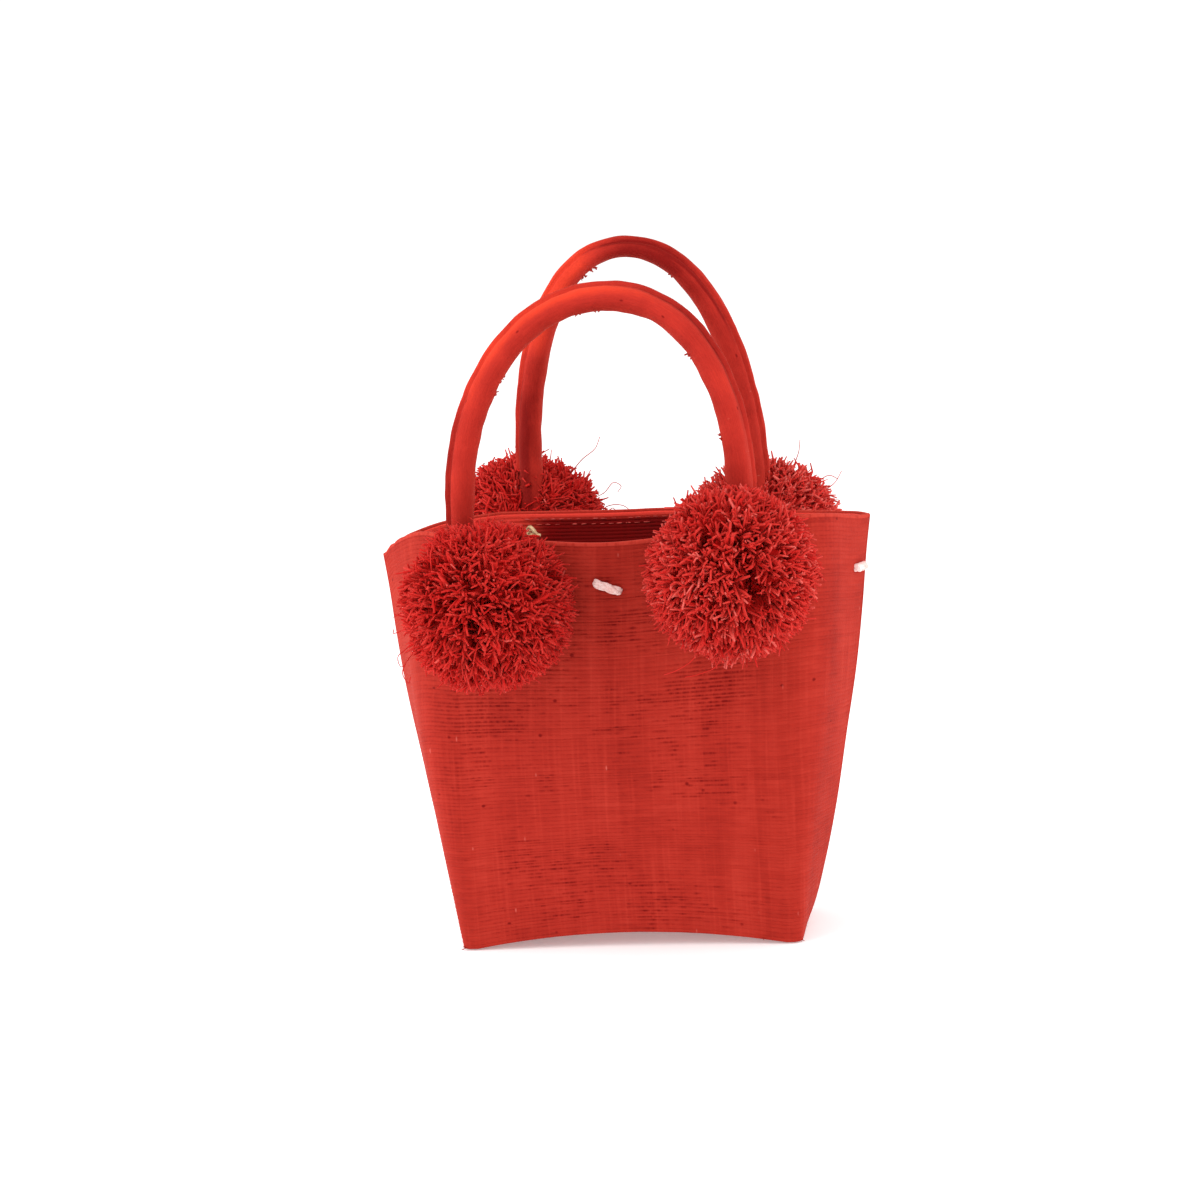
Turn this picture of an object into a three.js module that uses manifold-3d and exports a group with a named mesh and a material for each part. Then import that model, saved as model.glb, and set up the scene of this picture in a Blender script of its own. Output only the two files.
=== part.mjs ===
// A small raffia tote bag: a flared cloth body with an open mouth, two padded handles and four pompoms.
// Millimetres, +Z up, front towards -Y. The origin is on the floor under the middle of the bag.

import * as THREE from "three";
import { mergeVertices } from "three/addons/utils/BufferGeometryUtils.js";
import Module from "manifold-3d";

const wasm = await Module();
wasm.setup();

// Body, measured on the outside of the cloth
const BODY_HEIGHT = 203; // floor to the middle of the rim
const MOUTH_WIDTH = 239; // from side seam to side seam at the rim
const MOUTH_DEPTH = 96; // front corner to back corner at the rim
const MOUTH_FACE_WIDTH = 195; // the front face between its soft corners at the rim
const BASE_WIDTH = 168;
const BASE_DEPTH = 56;
const MOUTH_CORNER = 20; // how far from the corner its rounding starts, at the rim
const BASE_CORNER = 5;
const FACE_BOW = 4; // the outward swell of the middle of each face
const MOUTH_PINCH = 0.42; // share of its depth that the left corner loses at the rim
const PINCH_REACH = 18; // how far that pulls in the end of the flat face, for a whole pinch
const SWAY = 7; // how far the rim stands to the right of the base
const RIM_WAVE = 8; // the largest rise or dip of the soft rim
const CLOTH = 2; // woven raffia with its backing
const GAP = 0.3; // between pieces that are sewn or rest together

// Base, which stands on a flat strip at each end and is lifted between them
const BASE_ARCH = 7;
const BASE_FOOT = 8; // width of each flat strip

// Hem, the turned-in edge of the mouth
const HEM_HEIGHT = 15;
const HEM_THICKNESS = 1.2;
const HEM_SETBACK = 0.8; // from the top of the cloth down to the top of the hem

// Handles
const HANDLE_DIAMETER = 12;
const HANDLE_SPREAD = 122; // between the two legs
const HANDLE_RISE = 122; // from the rim up to the middle of the arch
const HANDLE_SHOULDER = 15; // from the rim up to where the arch starts
const HANDLE_TAIL = 38; // from the rim down to the sewn end
const HANDLE_NOD = 18; // how far the top of the arch leans over the mouth
const ARCH_FULLNESS = 2.15; // 2 is an ellipse, and more is squarer
const LIP_WIDTH = 1.6; // the sewn edge that stands out of the tube
const LIP_THICKNESS = 3;

// Pompoms
const POMPOM_DIAMETER = 83;
const POMPOM_CORE = 62; // to the feet of the locks
const POMPOM_DROP = 16; // from the rim down to the middle of the pompom
const POMPOM_STANDOFF = 24; // from the cloth out to the middle of the pompom
const LOCK_UNEVENNESS = 4; // how much shorter the shortest locks are
const LOCK_SWEEP = 5; // how far the tips are brushed to one side
const LOCKS_ACROSS = 4; // locks along each edge of the icosahedron that spaces them

// White cord tacks, one in the middle of each side
const TACK_LENGTH = 14;
const TACK_THICKNESS = 4.2;
const TACK_DROP = 21; // from the rim down to a face's tack
const SIDE_TACK_DROP = 23; // from the rim down to a side's tack
const SIDE_TACK_OFFSET = 8; // from the side seam to the middle of its tack
const FACE_TACK_TILT = 22; // degrees, its left end up

// Knot of undyed raffia inside the mouth, behind a handle leg
const KNOT_WIDTH = 7;
const KNOT_DEPTH = 4.4;
const KNOT_DROP = 8; // from the rim down to the knot
const KNOT_TAIL = 7;
const KNOT_OFFSET = 2; // from the middle of the leg across to the knot

// Shares of the way from the base (0) to the mouth (1), as the body rises.
// seam: the side seam's reach. corner: the face's half width. depth: the half depth.
// pinch: how much of the left corner's pinch is there.
const SECTIONS = [
  { height: 0.0, seam: 0.0, corner: 0.0, depth: 0.0, bow: 0.1, rounding: 0.0, pinch: 0.0 },
  { height: 0.05, seam: 0.11, corner: 0.06, depth: 0.08, bow: 0.3, rounding: 0.1, pinch: 0.0 },
  { height: 0.16, seam: 0.28, corner: 0.2, depth: 0.24, bow: 0.6, rounding: 0.3, pinch: 0.0 },
  { height: 0.29, seam: 0.44, corner: 0.38, depth: 0.41, bow: 0.9, rounding: 0.5, pinch: 0.0 },
  { height: 0.48, seam: 0.62, corner: 0.7, depth: 0.62, bow: 1.0, rounding: 0.7, pinch: 0.0 },
  { height: 0.65, seam: 0.78, corner: 0.9, depth: 0.78, bow: 0.9, rounding: 0.85, pinch: 0.25 },
  { height: 0.8, seam: 0.88, corner: 0.98, depth: 0.9, bow: 0.7, rounding: 0.95, pinch: 0.6 },
  { height: 0.93, seam: 0.95, corner: 1.0, depth: 0.97, bow: 0.55, rounding: 1.0, pinch: 0.95 },
  { height: 1.0, seam: 1.0, corner: 1.0, depth: 1.0, bow: 0.5, rounding: 1.0, pinch: 1.0 },
];

// The rim's rise as shares of RIM_WAVE, at shares of the way round from the left seam (0) to the
// right seam (1).
const RIM = [
  { around: 0.0, front: -1.0, back: -1.0 },
  { around: 0.1, front: 0.3, back: 0.3 },
  { around: 0.22, front: 0.1, back: 0.3 },
  { around: 0.5, front: -0.2, back: 0.0 },
  { around: 0.78, front: 0.4, back: -0.5 },
  { around: 1.0, front: -0.2, back: -0.2 },
];

// One row a handle. spread, rise, shoulder and nod are shares of the sizes above, and centre and
// topShift of HANDLE_SPREAD. lipTurn is in degrees from the outer side of the arch.
const HANDLES = [
  {
    name: "handle_front", face: -1, lipTurn: -14,
    spread: 1.065, centre: -0.009, rise: 0.912, shoulder: 1.2, nod: 1.2, topShift: 0.005,
  },
  {
    name: "handle_back", face: 1, lipTurn: -14,
    spread: 0.935, centre: 0.023, rise: 1.068, shoulder: 0.8, nod: 0.7, topShift: -0.03,
  },
];

// One row a pompom: across and rise are shares of its diameter from the foot of its handle leg,
// and spin turns its locks, in degrees.
const POMPOMS = [
  { name: "pompom_front_left", handle: 0, side: -1, across: 0.165, rise: -0.085, spin: 10 },
  { name: "pompom_front_right", handle: 0, side: 1, across: -0.045, rise: 0.04, spin: 75 },
  { name: "pompom_back_left", handle: 1, side: -1, across: -0.07, rise: 0.1, spin: 140 },
  { name: "pompom_back_right", handle: 1, side: 1, across: 0.04, rise: -0.03, spin: 215 },
];

// How many straight steps each stretch of a half section has: side, corner, face, corner, side.
const SECTION_STEPS = [3, 3, 10, 3, 3];

const lerp = THREE.MathUtils.lerp;

// Colours

function cloth(name, colour, roughness = 0.85) {
  return new THREE.MeshStandardMaterial({ name, color: colour, roughness, metalness: 0 });
}
const redCloth = cloth("red_raffia_cloth", 0xc23a2e);
const redHandle = cloth("red_handle_cloth", 0xd24034);
const redStrands = cloth("red_raffia_strands", 0xb3261f);
const whiteCord = cloth("white_cord", 0xf0e0dc);
const naturalRaffia = cloth("natural_raffia", 0xd9b98a);

// Solids and meshes

// A closed geometry as a solid that can be joined and cut.
function toSolid(geometry) {
  const bare = geometry.index ? geometry.toNonIndexed() : geometry.clone();
  for (const attribute of ["normal", "uv"]) bare.deleteAttribute(attribute);
  const merged = mergeVertices(bare, 1e-4);
  return new wasm.Manifold(
    new wasm.Mesh({
      numProp: 3,
      vertProperties: merged.attributes.position.array,
      triVerts: new Uint32Array(merged.index.array),
    }),
  );
}

function toGeometry(solid) {
  const { vertProperties, triVerts } = solid.getMesh();
  const geometry = new THREE.BufferGeometry();
  geometry.setAttribute("position", new THREE.BufferAttribute(vertProperties, 3));
  geometry.setIndex(new THREE.BufferAttribute(triVerts, 1));
  geometry.computeVertexNormals();
  return geometry;
}

// A closed wall between two grids of points of the same size. Seen from outside, a row of the
// outer grid runs to the right and the rows go up. wrap joins the last column to the first.
function wall(outer, inner, wrap = false) {
  const rows = outer.length;
  const columns = outer[0].length;
  const points = [...outer.flat(), ...inner.flat()];
  const at = (row, column, side) => side * rows * columns + row * columns + (column % columns);
  const faces = [];
  const quad = (a, b, c, d) => faces.push(a, b, c, a, c, d);
  const lastColumn = wrap ? columns : columns - 1;
  for (let column = 0; column < lastColumn; column++) {
    const next = column + 1;
    for (let row = 0; row < rows - 1; row++) {
      quad(at(row, column, 0), at(row, next, 0), at(row + 1, next, 0), at(row + 1, column, 0));
      quad(at(row, column, 1), at(row + 1, column, 1), at(row + 1, next, 1), at(row, next, 1));
    }
    const top = rows - 1;
    quad(at(top, column, 0), at(top, next, 0), at(top, next, 1), at(top, column, 1));
    quad(at(0, next, 0), at(0, column, 0), at(0, column, 1), at(0, next, 1));
  }
  if (!wrap) {
    const end = columns - 1;
    for (let row = 0; row < rows - 1; row++) {
      quad(at(row, 0, 0), at(row + 1, 0, 0), at(row + 1, 0, 1), at(row, 0, 1));
      quad(at(row + 1, end, 0), at(row, end, 0), at(row, end, 1), at(row + 1, end, 1));
    }
  }
  const geometry = new THREE.BufferGeometry().setFromPoints(points);
  geometry.setIndex(faces);
  geometry.computeVertexNormals();
  return geometry;
}

function piece(name, geometry, material) {
  const mesh = new THREE.Mesh(geometry, material);
  mesh.name = name;
  return mesh;
}

// Body sections

// The table's shares at a height share, mixed from the rows below and above it.
function sharesAt(height) {
  const share = THREE.MathUtils.clamp(height, 0, 1);
  const upper = Math.max(1, SECTIONS.findIndex((row) => row.height >= share));
  const [low, high] = [SECTIONS[upper - 1], SECTIONS[upper]];
  const along = (share - low.height) / (high.height - low.height);
  const mixed = Object.keys(low).map((column) => [column, lerp(low[column], high[column], along)]);
  return Object.fromEntries(mixed);
}

// The sizes of the section at a height share.
function sectionAt(height) {
  const shares = sharesAt(height);
  const rounding = lerp(BASE_CORNER, MOUTH_CORNER, shares.rounding);
  const corner = lerp(BASE_WIDTH, MOUTH_FACE_WIDTH, shares.corner) / 2;
  return {
    seam: lerp(BASE_WIDTH, MOUTH_WIDTH, shares.seam) / 2,
    corner,
    flat: corner - rounding,
    depth: lerp(BASE_DEPTH, MOUTH_DEPTH, shares.depth) / 2,
    bow: FACE_BOW * shares.bow,
    rounding,
    pinch: MOUTH_PINCH * shares.pinch,
  };
}

// Half of a section, from the left seam round the face to the right seam, in the plane.
// face is -1 for the front and 1 for the back.
function halfSection(height, face, seamGap) {
  const { seam, corner, flat, depth, bow, rounding, pinch } = sectionAt(height);
  const at = (x, y) => new THREE.Vector2(x, face * y);
  // The points that shape one side of the half: -1 is its left and 1 its right.
  const sideOf = (side, cornerDepth, faceReach) => {
    const seamPoint = at(side * seam, seamGap / 2);
    const cornerPoint = at(side * corner, cornerDepth);
    const rounded = rounding / cornerPoint.distanceTo(seamPoint);
    const sideStart = cornerPoint.clone().lerp(seamPoint, rounded);
    return { seamPoint, cornerPoint, sideStart, faceEnd: at(side * faceReach, depth) };
  };
  const left = sideOf(-1, depth * (1 - pinch), flat - PINCH_REACH * pinch);
  const right = sideOf(1, depth, flat);
  const crown = at((left.faceEnd.x + right.faceEnd.x) / 2, depth + 2 * bow);
  const stretches = [
    new THREE.LineCurve(left.seamPoint, left.sideStart),
    new THREE.QuadraticBezierCurve(left.sideStart, left.cornerPoint, left.faceEnd),
    new THREE.QuadraticBezierCurve(left.faceEnd, crown, right.faceEnd),
    new THREE.QuadraticBezierCurve(right.faceEnd, right.cornerPoint, right.sideStart),
    new THREE.LineCurve(right.sideStart, right.seamPoint),
  ];
  const points = [stretches[0].getPoint(0)];
  stretches.forEach((stretch, i) => points.push(...stretch.getPoints(SECTION_STEPS[i]).slice(1)));
  return points;
}

// The half section moved inwards by a distance, with its two ends kept on their plane.
function inset(points, face, distance) {
  return points.map((point, i) => {
    const isEnd = i === 0 || i === points.length - 1;
    const before = points[Math.max(i - 1, 0)];
    const after = points[Math.min(i + 1, points.length - 1)];
    const along = after.clone().sub(before).normalize();
    const inward = new THREE.Vector2(face * along.y, -face * along.x);
    if (!isEnd) return point.clone().addScaledVector(inward, distance);
    return new THREE.Vector2(point.x - (Math.sign(point.x) * distance) / Math.abs(inward.x), point.y);
  });
}

// How far the body's middle stands to the right at a height.
const swayAt = (z) => (SWAY * z) / BODY_HEIGHT;

const foot = BASE_WIDTH / 2 - BASE_FOOT;
const archAt = (x) => BASE_ARCH * Math.max(0, 1 - (x / foot) ** 2);

// The rim's height at a share of the way round a half, from the left seam to the right seam.
function rimAt(share, face) {
  const stop = face < 0 ? "front" : "back";
  const end = Math.max(1, RIM.findIndex((row) => row.around >= share));
  const [low, high] = [RIM[end - 1], RIM[end]];
  const eased = THREE.MathUtils.smoothstep(share, low.around, high.around);
  return BODY_HEIGHT + RIM_WAVE * lerp(low[stop], high[stop], eased);
}

// The height share of a point on the cloth: z above the floor, at x from the body's middle, a
// share of the way round the half.
function shareAt(z, x, around, face) {
  const bottom = archAt(x) + CLOTH + GAP;
  return (z - bottom) / (rimAt(around, face) - bottom);
}

// The cloth's distance from the middle plane on a face, at x from the body's middle and a height.
function faceDepth(x, z, face) {
  const steps = SECTION_STEPS.reduce((sum, count) => sum + count);
  const faceStart = (SECTION_STEPS[0] + SECTION_STEPS[1]) / steps;
  // The two ends of the flat face, as distances from the middle.
  const ends = ({ flat, pinch }) => [flat - PINCH_REACH * pinch, flat];
  const [mouthLeft, mouthRight] = ends(sectionAt(1));
  const across = (x + mouthLeft) / (mouthLeft + mouthRight);
  const section = sectionAt(shareAt(z, x, lerp(faceStart, 1 - faceStart, across), face));
  const [left, right] = ends(section);
  const fromCrown = (2 * x + left - right) / (left + right);
  return section.depth + section.bow * Math.max(0, 1 - fromCrown ** 2);
}

// One row of a wall: the half section at a height share, moved in by a distance and lifted into
// place between the base and the rim.
function wallRow(height, face, distance, seamGap = GAP) {
  const plan = halfSection(height, face, seamGap);
  const moved = inset(plan, face, distance);
  return moved.map((point, i) => {
    const bottom = archAt(plan[i].x) + CLOTH + GAP;
    const z = lerp(bottom, rimAt(i / (plan.length - 1), face), height);
    return new THREE.Vector3(point.x + swayAt(z), point.y, z);
  });
}

// The same row all round the body.
function wallLoop(height, distance) {
  const front = wallRow(height, -1, distance, 0);
  const back = wallRow(height, 1, distance, 0).reverse();
  return [...front.slice(0, -1), ...back.slice(0, -1)];
}

// Body panels, each half of the cloth from side seam to side seam

function bodyPanel(name, face) {
  const rows = SECTIONS.map((section) => section.height);
  // The back half is turned round, so that its rows also run to the right seen from outside.
  const facing = (row) => (face < 0 ? row : row.reverse());
  const outer = rows.map((height) => facing(wallRow(height, face, 0)));
  const inner = rows.map((height) => facing(wallRow(height, face, CLOTH)));
  return piece(name, wall(outer, inner), redCloth);
}

// Base panel, the cloth and board that the body stands on

function basePanel() {
  const half = BASE_WIDTH / 2;
  const cornerSteps = 3;
  const archSteps = 12;
  const ends = [];
  for (let i = 0; i <= cornerSteps; i++) {
    const angle = (i / cornerSteps) * (Math.PI / 2);
    const x = half - BASE_CORNER * (1 - Math.cos(angle));
    ends.push({ x, depth: BASE_DEPTH / 2 - BASE_CORNER * (1 - Math.sin(angle)) });
  }
  const left = ends.map(({ x, depth }) => ({ x: -x, depth }));
  const middle = [];
  for (let i = 0; i <= archSteps; i++) {
    middle.push({ x: lerp(-foot, foot, i / archSteps), depth: BASE_DEPTH / 2 });
  }
  const outline = [...left, ...middle, ...ends.reverse()];
  const edge = (side, lift) =>
    outline.map(({ x, depth }) => new THREE.Vector3(x, side * depth, archAt(x) + lift));
  const top = [edge(-1, CLOTH), edge(1, CLOTH)];
  const floor = [edge(-1, 0), edge(1, 0)];
  return piece("base_panel", wall(top, floor), redCloth);
}

// Hem, a band all round the inside of the mouth

function rimHem() {
  const top = 1 - HEM_SETBACK / BODY_HEIGHT;
  const bottom = top - HEM_HEIGHT / BODY_HEIGHT;
  const heights = [bottom, (bottom + top) / 2, top];
  const outer = heights.map((height) => wallLoop(height, CLOTH + GAP));
  const inner = heights.map((height) => wallLoop(height, CLOTH + GAP + HEM_THICKNESS));
  return piece("rim_hem", wall(outer, inner, true), redCloth);
}

// Handles, a cord core wrapped in cloth whose sewn edge stands out as a lip

const handleRadius = HANDLE_DIAMETER / 2;

// Where a leg runs: x from the body's middle.
const legX = (row, side) => HANDLE_SPREAD * (row.centre + (side * row.spread) / 2);

function handlePath(row) {
  const legPoint = (side, z) => {
    const x = legX(row, side);
    const depth = faceDepth(x, Math.min(z, BODY_HEIGHT), row.face) + handleRadius + GAP;
    return new THREE.Vector3(x + swayAt(z), row.face * depth, z);
  };
  const legHeights = [-HANDLE_TAIL, -HANDLE_TAIL / 2, 0].map((rise) => BODY_HEIGHT + rise);
  const shoulder = HANDLE_SHOULDER * row.shoulder;
  const archHeight = HANDLE_RISE * row.rise - shoulder;
  const fuller = (value) => Math.sign(value) * Math.abs(value) ** (2 / ARCH_FULLNESS);
  const archSteps = 14;
  const points = legHeights.map((z) => legPoint(-1, z));
  for (let i = 0; i <= archSteps; i++) {
    const angle = Math.PI * (1 - i / archSteps);
    const rise = fuller(Math.sin(angle));
    const z = BODY_HEIGHT + shoulder + archHeight * rise;
    const middle = HANDLE_SPREAD * (row.centre + row.topShift * rise);
    const x = middle + (HANDLE_SPREAD * row.spread * fuller(Math.cos(angle))) / 2;
    const y = legPoint(1, BODY_HEIGHT).y - row.face * HANDLE_NOD * row.nod * rise ** 2;
    points.push(new THREE.Vector3(x + swayAt(z), y, z));
  }
  points.push(...legHeights.reverse().map((z) => legPoint(1, z)));
  return new THREE.CatmullRomCurve3(points, false, "centripetal");
}

// The tube's section with its lip, grown by a clearance. +x is the outer side of the arch.
function handleSection(row, clearance) {
  const radius = handleRadius + clearance;
  const halfLip = LIP_THICKNESS / 2 + clearance;
  const reach = handleRadius + LIP_WIDTH + clearance;
  const turn = THREE.MathUtils.degToRad(row.lipTurn * -row.face);
  const halfAngle = Math.asin(halfLip / radius);
  const tubeSides = 11;
  const lipTaper = 0.6; // width of the lip's edge as a share of its foot
  const turned = (x, y) => new THREE.Vector2(x, y).rotateAround(new THREE.Vector2(), turn);
  const points = [];
  for (let i = 0; i <= tubeSides; i++) {
    const angle = lerp(halfAngle, 2 * Math.PI - halfAngle, i / tubeSides);
    points.push(turned(radius * Math.cos(angle), radius * Math.sin(angle)));
  }
  points.push(turned(reach, -halfLip * lipTaper), turned(reach, halfLip * lipTaper));
  return new THREE.Shape(points);
}

function handleGeometry(row, clearance = 0) {
  return new THREE.ExtrudeGeometry(handleSection(row, clearance), {
    steps: 36,
    extrudePath: handlePath(row),
  });
}

// Pompoms, locks of cut raffia round a bound core, spread flat against the cloth behind

// The space behind a pompom, from the front of the body to its back, which goes on above the rim.
function bodyBlock() {
  const heights = [...SECTIONS.map((section) => section.height), 1 + POMPOM_DIAMETER / BODY_HEIGHT];
  const [front, back] = [-1, 1].map((face) => heights.map((height) => wallRow(height, face, -GAP)));
  return toSolid(wall(front, back));
}

function pompomCentre(row) {
  const handle = HANDLES[row.handle];
  const x = legX(handle, row.side) + POMPOM_DIAMETER * row.across;
  const z = BODY_HEIGHT - POMPOM_DROP + POMPOM_DIAMETER * row.rise;
  const y = handle.face * (faceDepth(x, z, handle.face) + POMPOM_STANDOFF);
  return new THREE.Vector3(x + swayAt(z), y, z);
}

// A ball drawn out into pointed locks. The finer icosahedron has the coarser one's corners among
// its own: those become the tips, and all its other corners are the feet of the locks.
function lockBall() {
  const key = (point) => point.toArray().map((value) => value.toFixed(3)).join();
  const corners = (splits) => {
    const ball = new THREE.IcosahedronGeometry(1, splits - 1);
    for (const attribute of ["normal", "uv"]) ball.deleteAttribute(attribute);
    return mergeVertices(ball, 1e-4);
  };
  const readPoint = (geometry, i) => new THREE.Vector3().fromBufferAttribute(geometry.attributes.position, i);
  const spacing = corners(LOCKS_ACROSS);
  const tips = new Map();
  for (let i = 0; i < spacing.attributes.position.count; i++) tips.set(key(readPoint(spacing, i)), i);
  const ball = corners(2 * LOCKS_ACROSS);
  const goldenShare = (Math.sqrt(5) - 1) / 2;
  for (let i = 0; i < ball.attributes.position.count; i++) {
    const out = readPoint(ball, i);
    const lock = tips.get(key(out));
    let point = out.clone().multiplyScalar(POMPOM_CORE / 2);
    if (lock !== undefined) {
      const shorter = LOCK_UNEVENNESS * ((lock * goldenShare) % 1);
      const sweep = new THREE.Vector3(Math.sin(lock), Math.sin(2 * lock), Math.cos(3 * lock)).cross(out);
      const reach = POMPOM_DIAMETER / 2 - shorter;
      point = out.clone().multiplyScalar(reach).addScaledVector(sweep, LOCK_SWEEP / 2).setLength(reach);
    }
    ball.attributes.position.setXYZ(i, ...point);
  }
  return ball;
}

function pompom(row, body) {
  const centre = pompomCentre(row);
  const ball = lockBall();
  ball.rotateZ(THREE.MathUtils.degToRad(row.spin));
  ball.translate(...centre);
  const handle = toSolid(handleGeometry(HANDLES[row.handle], GAP));
  // The cuts leave a few loose tips behind the handle, so only the pompom itself is kept.
  const cut = toSolid(ball).subtract(body).subtract(handle);
  const [whole] = cut.decompose().sort((a, b) => b.volume() - a.volume());
  return piece(row.name, toGeometry(whole), redStrands);
}

// Tacks, a short bar of white cord on the cloth in the middle of each side

function tack(name, at, outward, tilt) {
  const radius = TACK_THICKNESS / 2;
  const bar = new THREE.CapsuleGeometry(radius, TACK_LENGTH - TACK_THICKNESS, 3, 8);
  const along = new THREE.Vector3(0, 0, 1).cross(outward).normalize();
  along.applyAxisAngle(outward, THREE.MathUtils.degToRad(tilt));
  bar.applyQuaternion(new THREE.Quaternion().setFromUnitVectors(new THREE.Vector3(0, 1, 0), along));
  const mesh = piece(name, bar, whiteCord);
  mesh.position.copy(at).addScaledVector(outward, radius + GAP);
  return mesh;
}

function faceTack(name, face) {
  const z = BODY_HEIGHT - TACK_DROP;
  const at = new THREE.Vector3(swayAt(z), face * faceDepth(0, z, face), z);
  return tack(name, at, new THREE.Vector3(0, face, 0), -FACE_TACK_TILT);
}

// Beside a side seam, on the half that face names.
function sideTack(name, side, face) {
  const z = BODY_HEIGHT - SIDE_TACK_DROP;
  const section = sectionAt(shareAt(z, BASE_WIDTH / 2, side < 0 ? 0 : 1, face));
  const { seam, corner, depth, pinch } = section;
  const cornerDepth = side < 0 ? depth * (1 - pinch) : depth;
  const along = new THREE.Vector3(side * (corner - seam), face * cornerDepth, 0).normalize();
  const outward = new THREE.Vector3(side * face * along.y, -side * face * along.x, 0);
  const seamPoint = new THREE.Vector3(swayAt(z) + side * seam, 0, z);
  return tack(name, seamPoint.addScaledVector(along, SIDE_TACK_OFFSET), outward, 0);
}

// Knot, the tied end of the raffia that holds a handle leg and its pompom to the cloth

function knot(name, row, side) {
  const z = BODY_HEIGHT - KNOT_DROP;
  const x = legX(row, side) - side * KNOT_OFFSET;
  const head = new THREE.SphereGeometry(KNOT_WIDTH / 2, 8, 6);
  head.scale(1, KNOT_DEPTH / KNOT_WIDTH, 0.7);
  const solids = [toSolid(head)];
  for (const turn of [70, -78]) {
    const tail = new THREE.CylinderGeometry(KNOT_DEPTH * 0.2, KNOT_DEPTH * 0.35, KNOT_TAIL, 6);
    tail.translate(0, KNOT_TAIL / 2, 0);
    tail.rotateX(Math.PI / 2);
    tail.rotateY(THREE.MathUtils.degToRad(turn));
    solids.push(toSolid(tail));
  }
  const backing = CLOTH + GAP + HEM_THICKNESS + GAP;
  const y = row.face * (faceDepth(x, z, row.face) - backing - KNOT_DEPTH / 2);
  const mesh = piece(name, toGeometry(wasm.Manifold.union(solids)), naturalRaffia);
  mesh.position.set(x + swayAt(z), y, z);
  return mesh;
}

// The bag

const bag = new THREE.Group();
bag.add(bodyPanel("front_panel", -1), bodyPanel("back_panel", 1), basePanel(), rimHem());
for (const row of HANDLES) bag.add(piece(row.name, handleGeometry(row), redHandle));
const body = bodyBlock();
for (const row of POMPOMS) bag.add(pompom(row, body));
bag.add(faceTack("tack_front", -1), faceTack("tack_back", 1));
bag.add(sideTack("tack_left", -1, 1), sideTack("tack_right", 1, -1));
const [, handleBack] = HANDLES;
bag.add(knot("knot_back_left", handleBack, -1));

// The origin goes to the middle of the bottom of the whole bag.
const extent = new THREE.Box3().setFromObject(bag, true);
const middle = extent.getCenter(new THREE.Vector3());
bag.position.set(-middle.x, -middle.y, -extent.min.z);

export default bag;
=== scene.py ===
import math

import bpy
import numpy as np
from mathutils import Matrix, Vector


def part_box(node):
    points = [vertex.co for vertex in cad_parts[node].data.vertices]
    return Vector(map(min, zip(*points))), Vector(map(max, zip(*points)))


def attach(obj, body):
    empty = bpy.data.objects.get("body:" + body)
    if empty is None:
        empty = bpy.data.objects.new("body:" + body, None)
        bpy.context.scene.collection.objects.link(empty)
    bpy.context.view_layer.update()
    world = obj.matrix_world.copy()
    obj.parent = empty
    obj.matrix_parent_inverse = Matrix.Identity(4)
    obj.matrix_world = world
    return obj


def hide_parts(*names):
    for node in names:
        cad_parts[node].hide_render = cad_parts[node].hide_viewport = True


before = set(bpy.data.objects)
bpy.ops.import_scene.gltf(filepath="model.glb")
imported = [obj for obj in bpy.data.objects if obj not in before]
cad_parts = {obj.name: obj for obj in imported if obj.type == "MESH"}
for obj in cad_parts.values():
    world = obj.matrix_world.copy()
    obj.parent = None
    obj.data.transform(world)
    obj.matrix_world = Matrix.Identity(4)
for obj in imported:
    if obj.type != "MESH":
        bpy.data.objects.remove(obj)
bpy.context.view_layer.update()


# Cloth of the body
# Two halves of handwoven raffia cloth, stiffened by a backing and sewn together down the sides.
# The weft is flat raffia, 1.9 mm a rib, over thin warp threads. The cloth flares from the base to
# an open, softly waving mouth, where it folds over to the inside.

BODY_HEIGHT = 203.0  # sizes are in millimetres
MOUTH_WIDTH, MOUTH_DEPTH, MOUTH_FACE_WIDTH = 239.0, 96.0, 195.0
BASE_WIDTH, BASE_DEPTH = 168.0, 56.0
MOUTH_CORNER, BASE_CORNER = 20.0, 5.0
MOUTH_PINCH, PINCH_REACH = 0.42, 18.0
FACE_BOW, SWAY, RIM_WAVE = 4.0, 7.0, 8.0
CLOTH, GAP = 2.0, 0.3
BASE_ARCH, BASE_FOOT = 7.0, 8.0
LOWER_EDGE = 0.5  # from the floor up to the edge of the cloth, which hangs over the base
BODY_MIDDLE = np.mean(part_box("base_panel"), axis=0) * [1000, 1000, 0]

SECTION_HEIGHTS = np.array([0.0, 0.05, 0.16, 0.29, 0.48, 0.65, 0.8, 0.93, 1.0])
SECTION_SHARES = {
    "seam": [0.0, 0.11, 0.28, 0.44, 0.62, 0.78, 0.88, 0.95, 1.0],
    "corner": [0.0, 0.06, 0.2, 0.38, 0.7, 0.9, 0.98, 1.0, 1.0],
    "depth": [0.0, 0.08, 0.24, 0.41, 0.62, 0.78, 0.9, 0.97, 1.0],
    "bow": [0.1, 0.3, 0.6, 0.9, 1.0, 0.9, 0.7, 0.55, 0.5],
    "rounding": [0.0, 0.1, 0.3, 0.5, 0.7, 0.85, 0.95, 1.0, 1.0],
    "pinch": [0.0, 0.0, 0.0, 0.0, 0.0, 0.25, 0.6, 0.95, 1.0],
}
RIM_AROUND = np.array([0.0, 0.1, 0.22, 0.5, 0.78, 1.0])
RIM_RISE = {
    -1: np.array([-1.0, -0.3, 0.75, -0.15, 0.8, -0.15]),
    1: np.array([-1.0, -0.25, 0.35, 0.0, -0.6, -0.15]),
}

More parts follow.
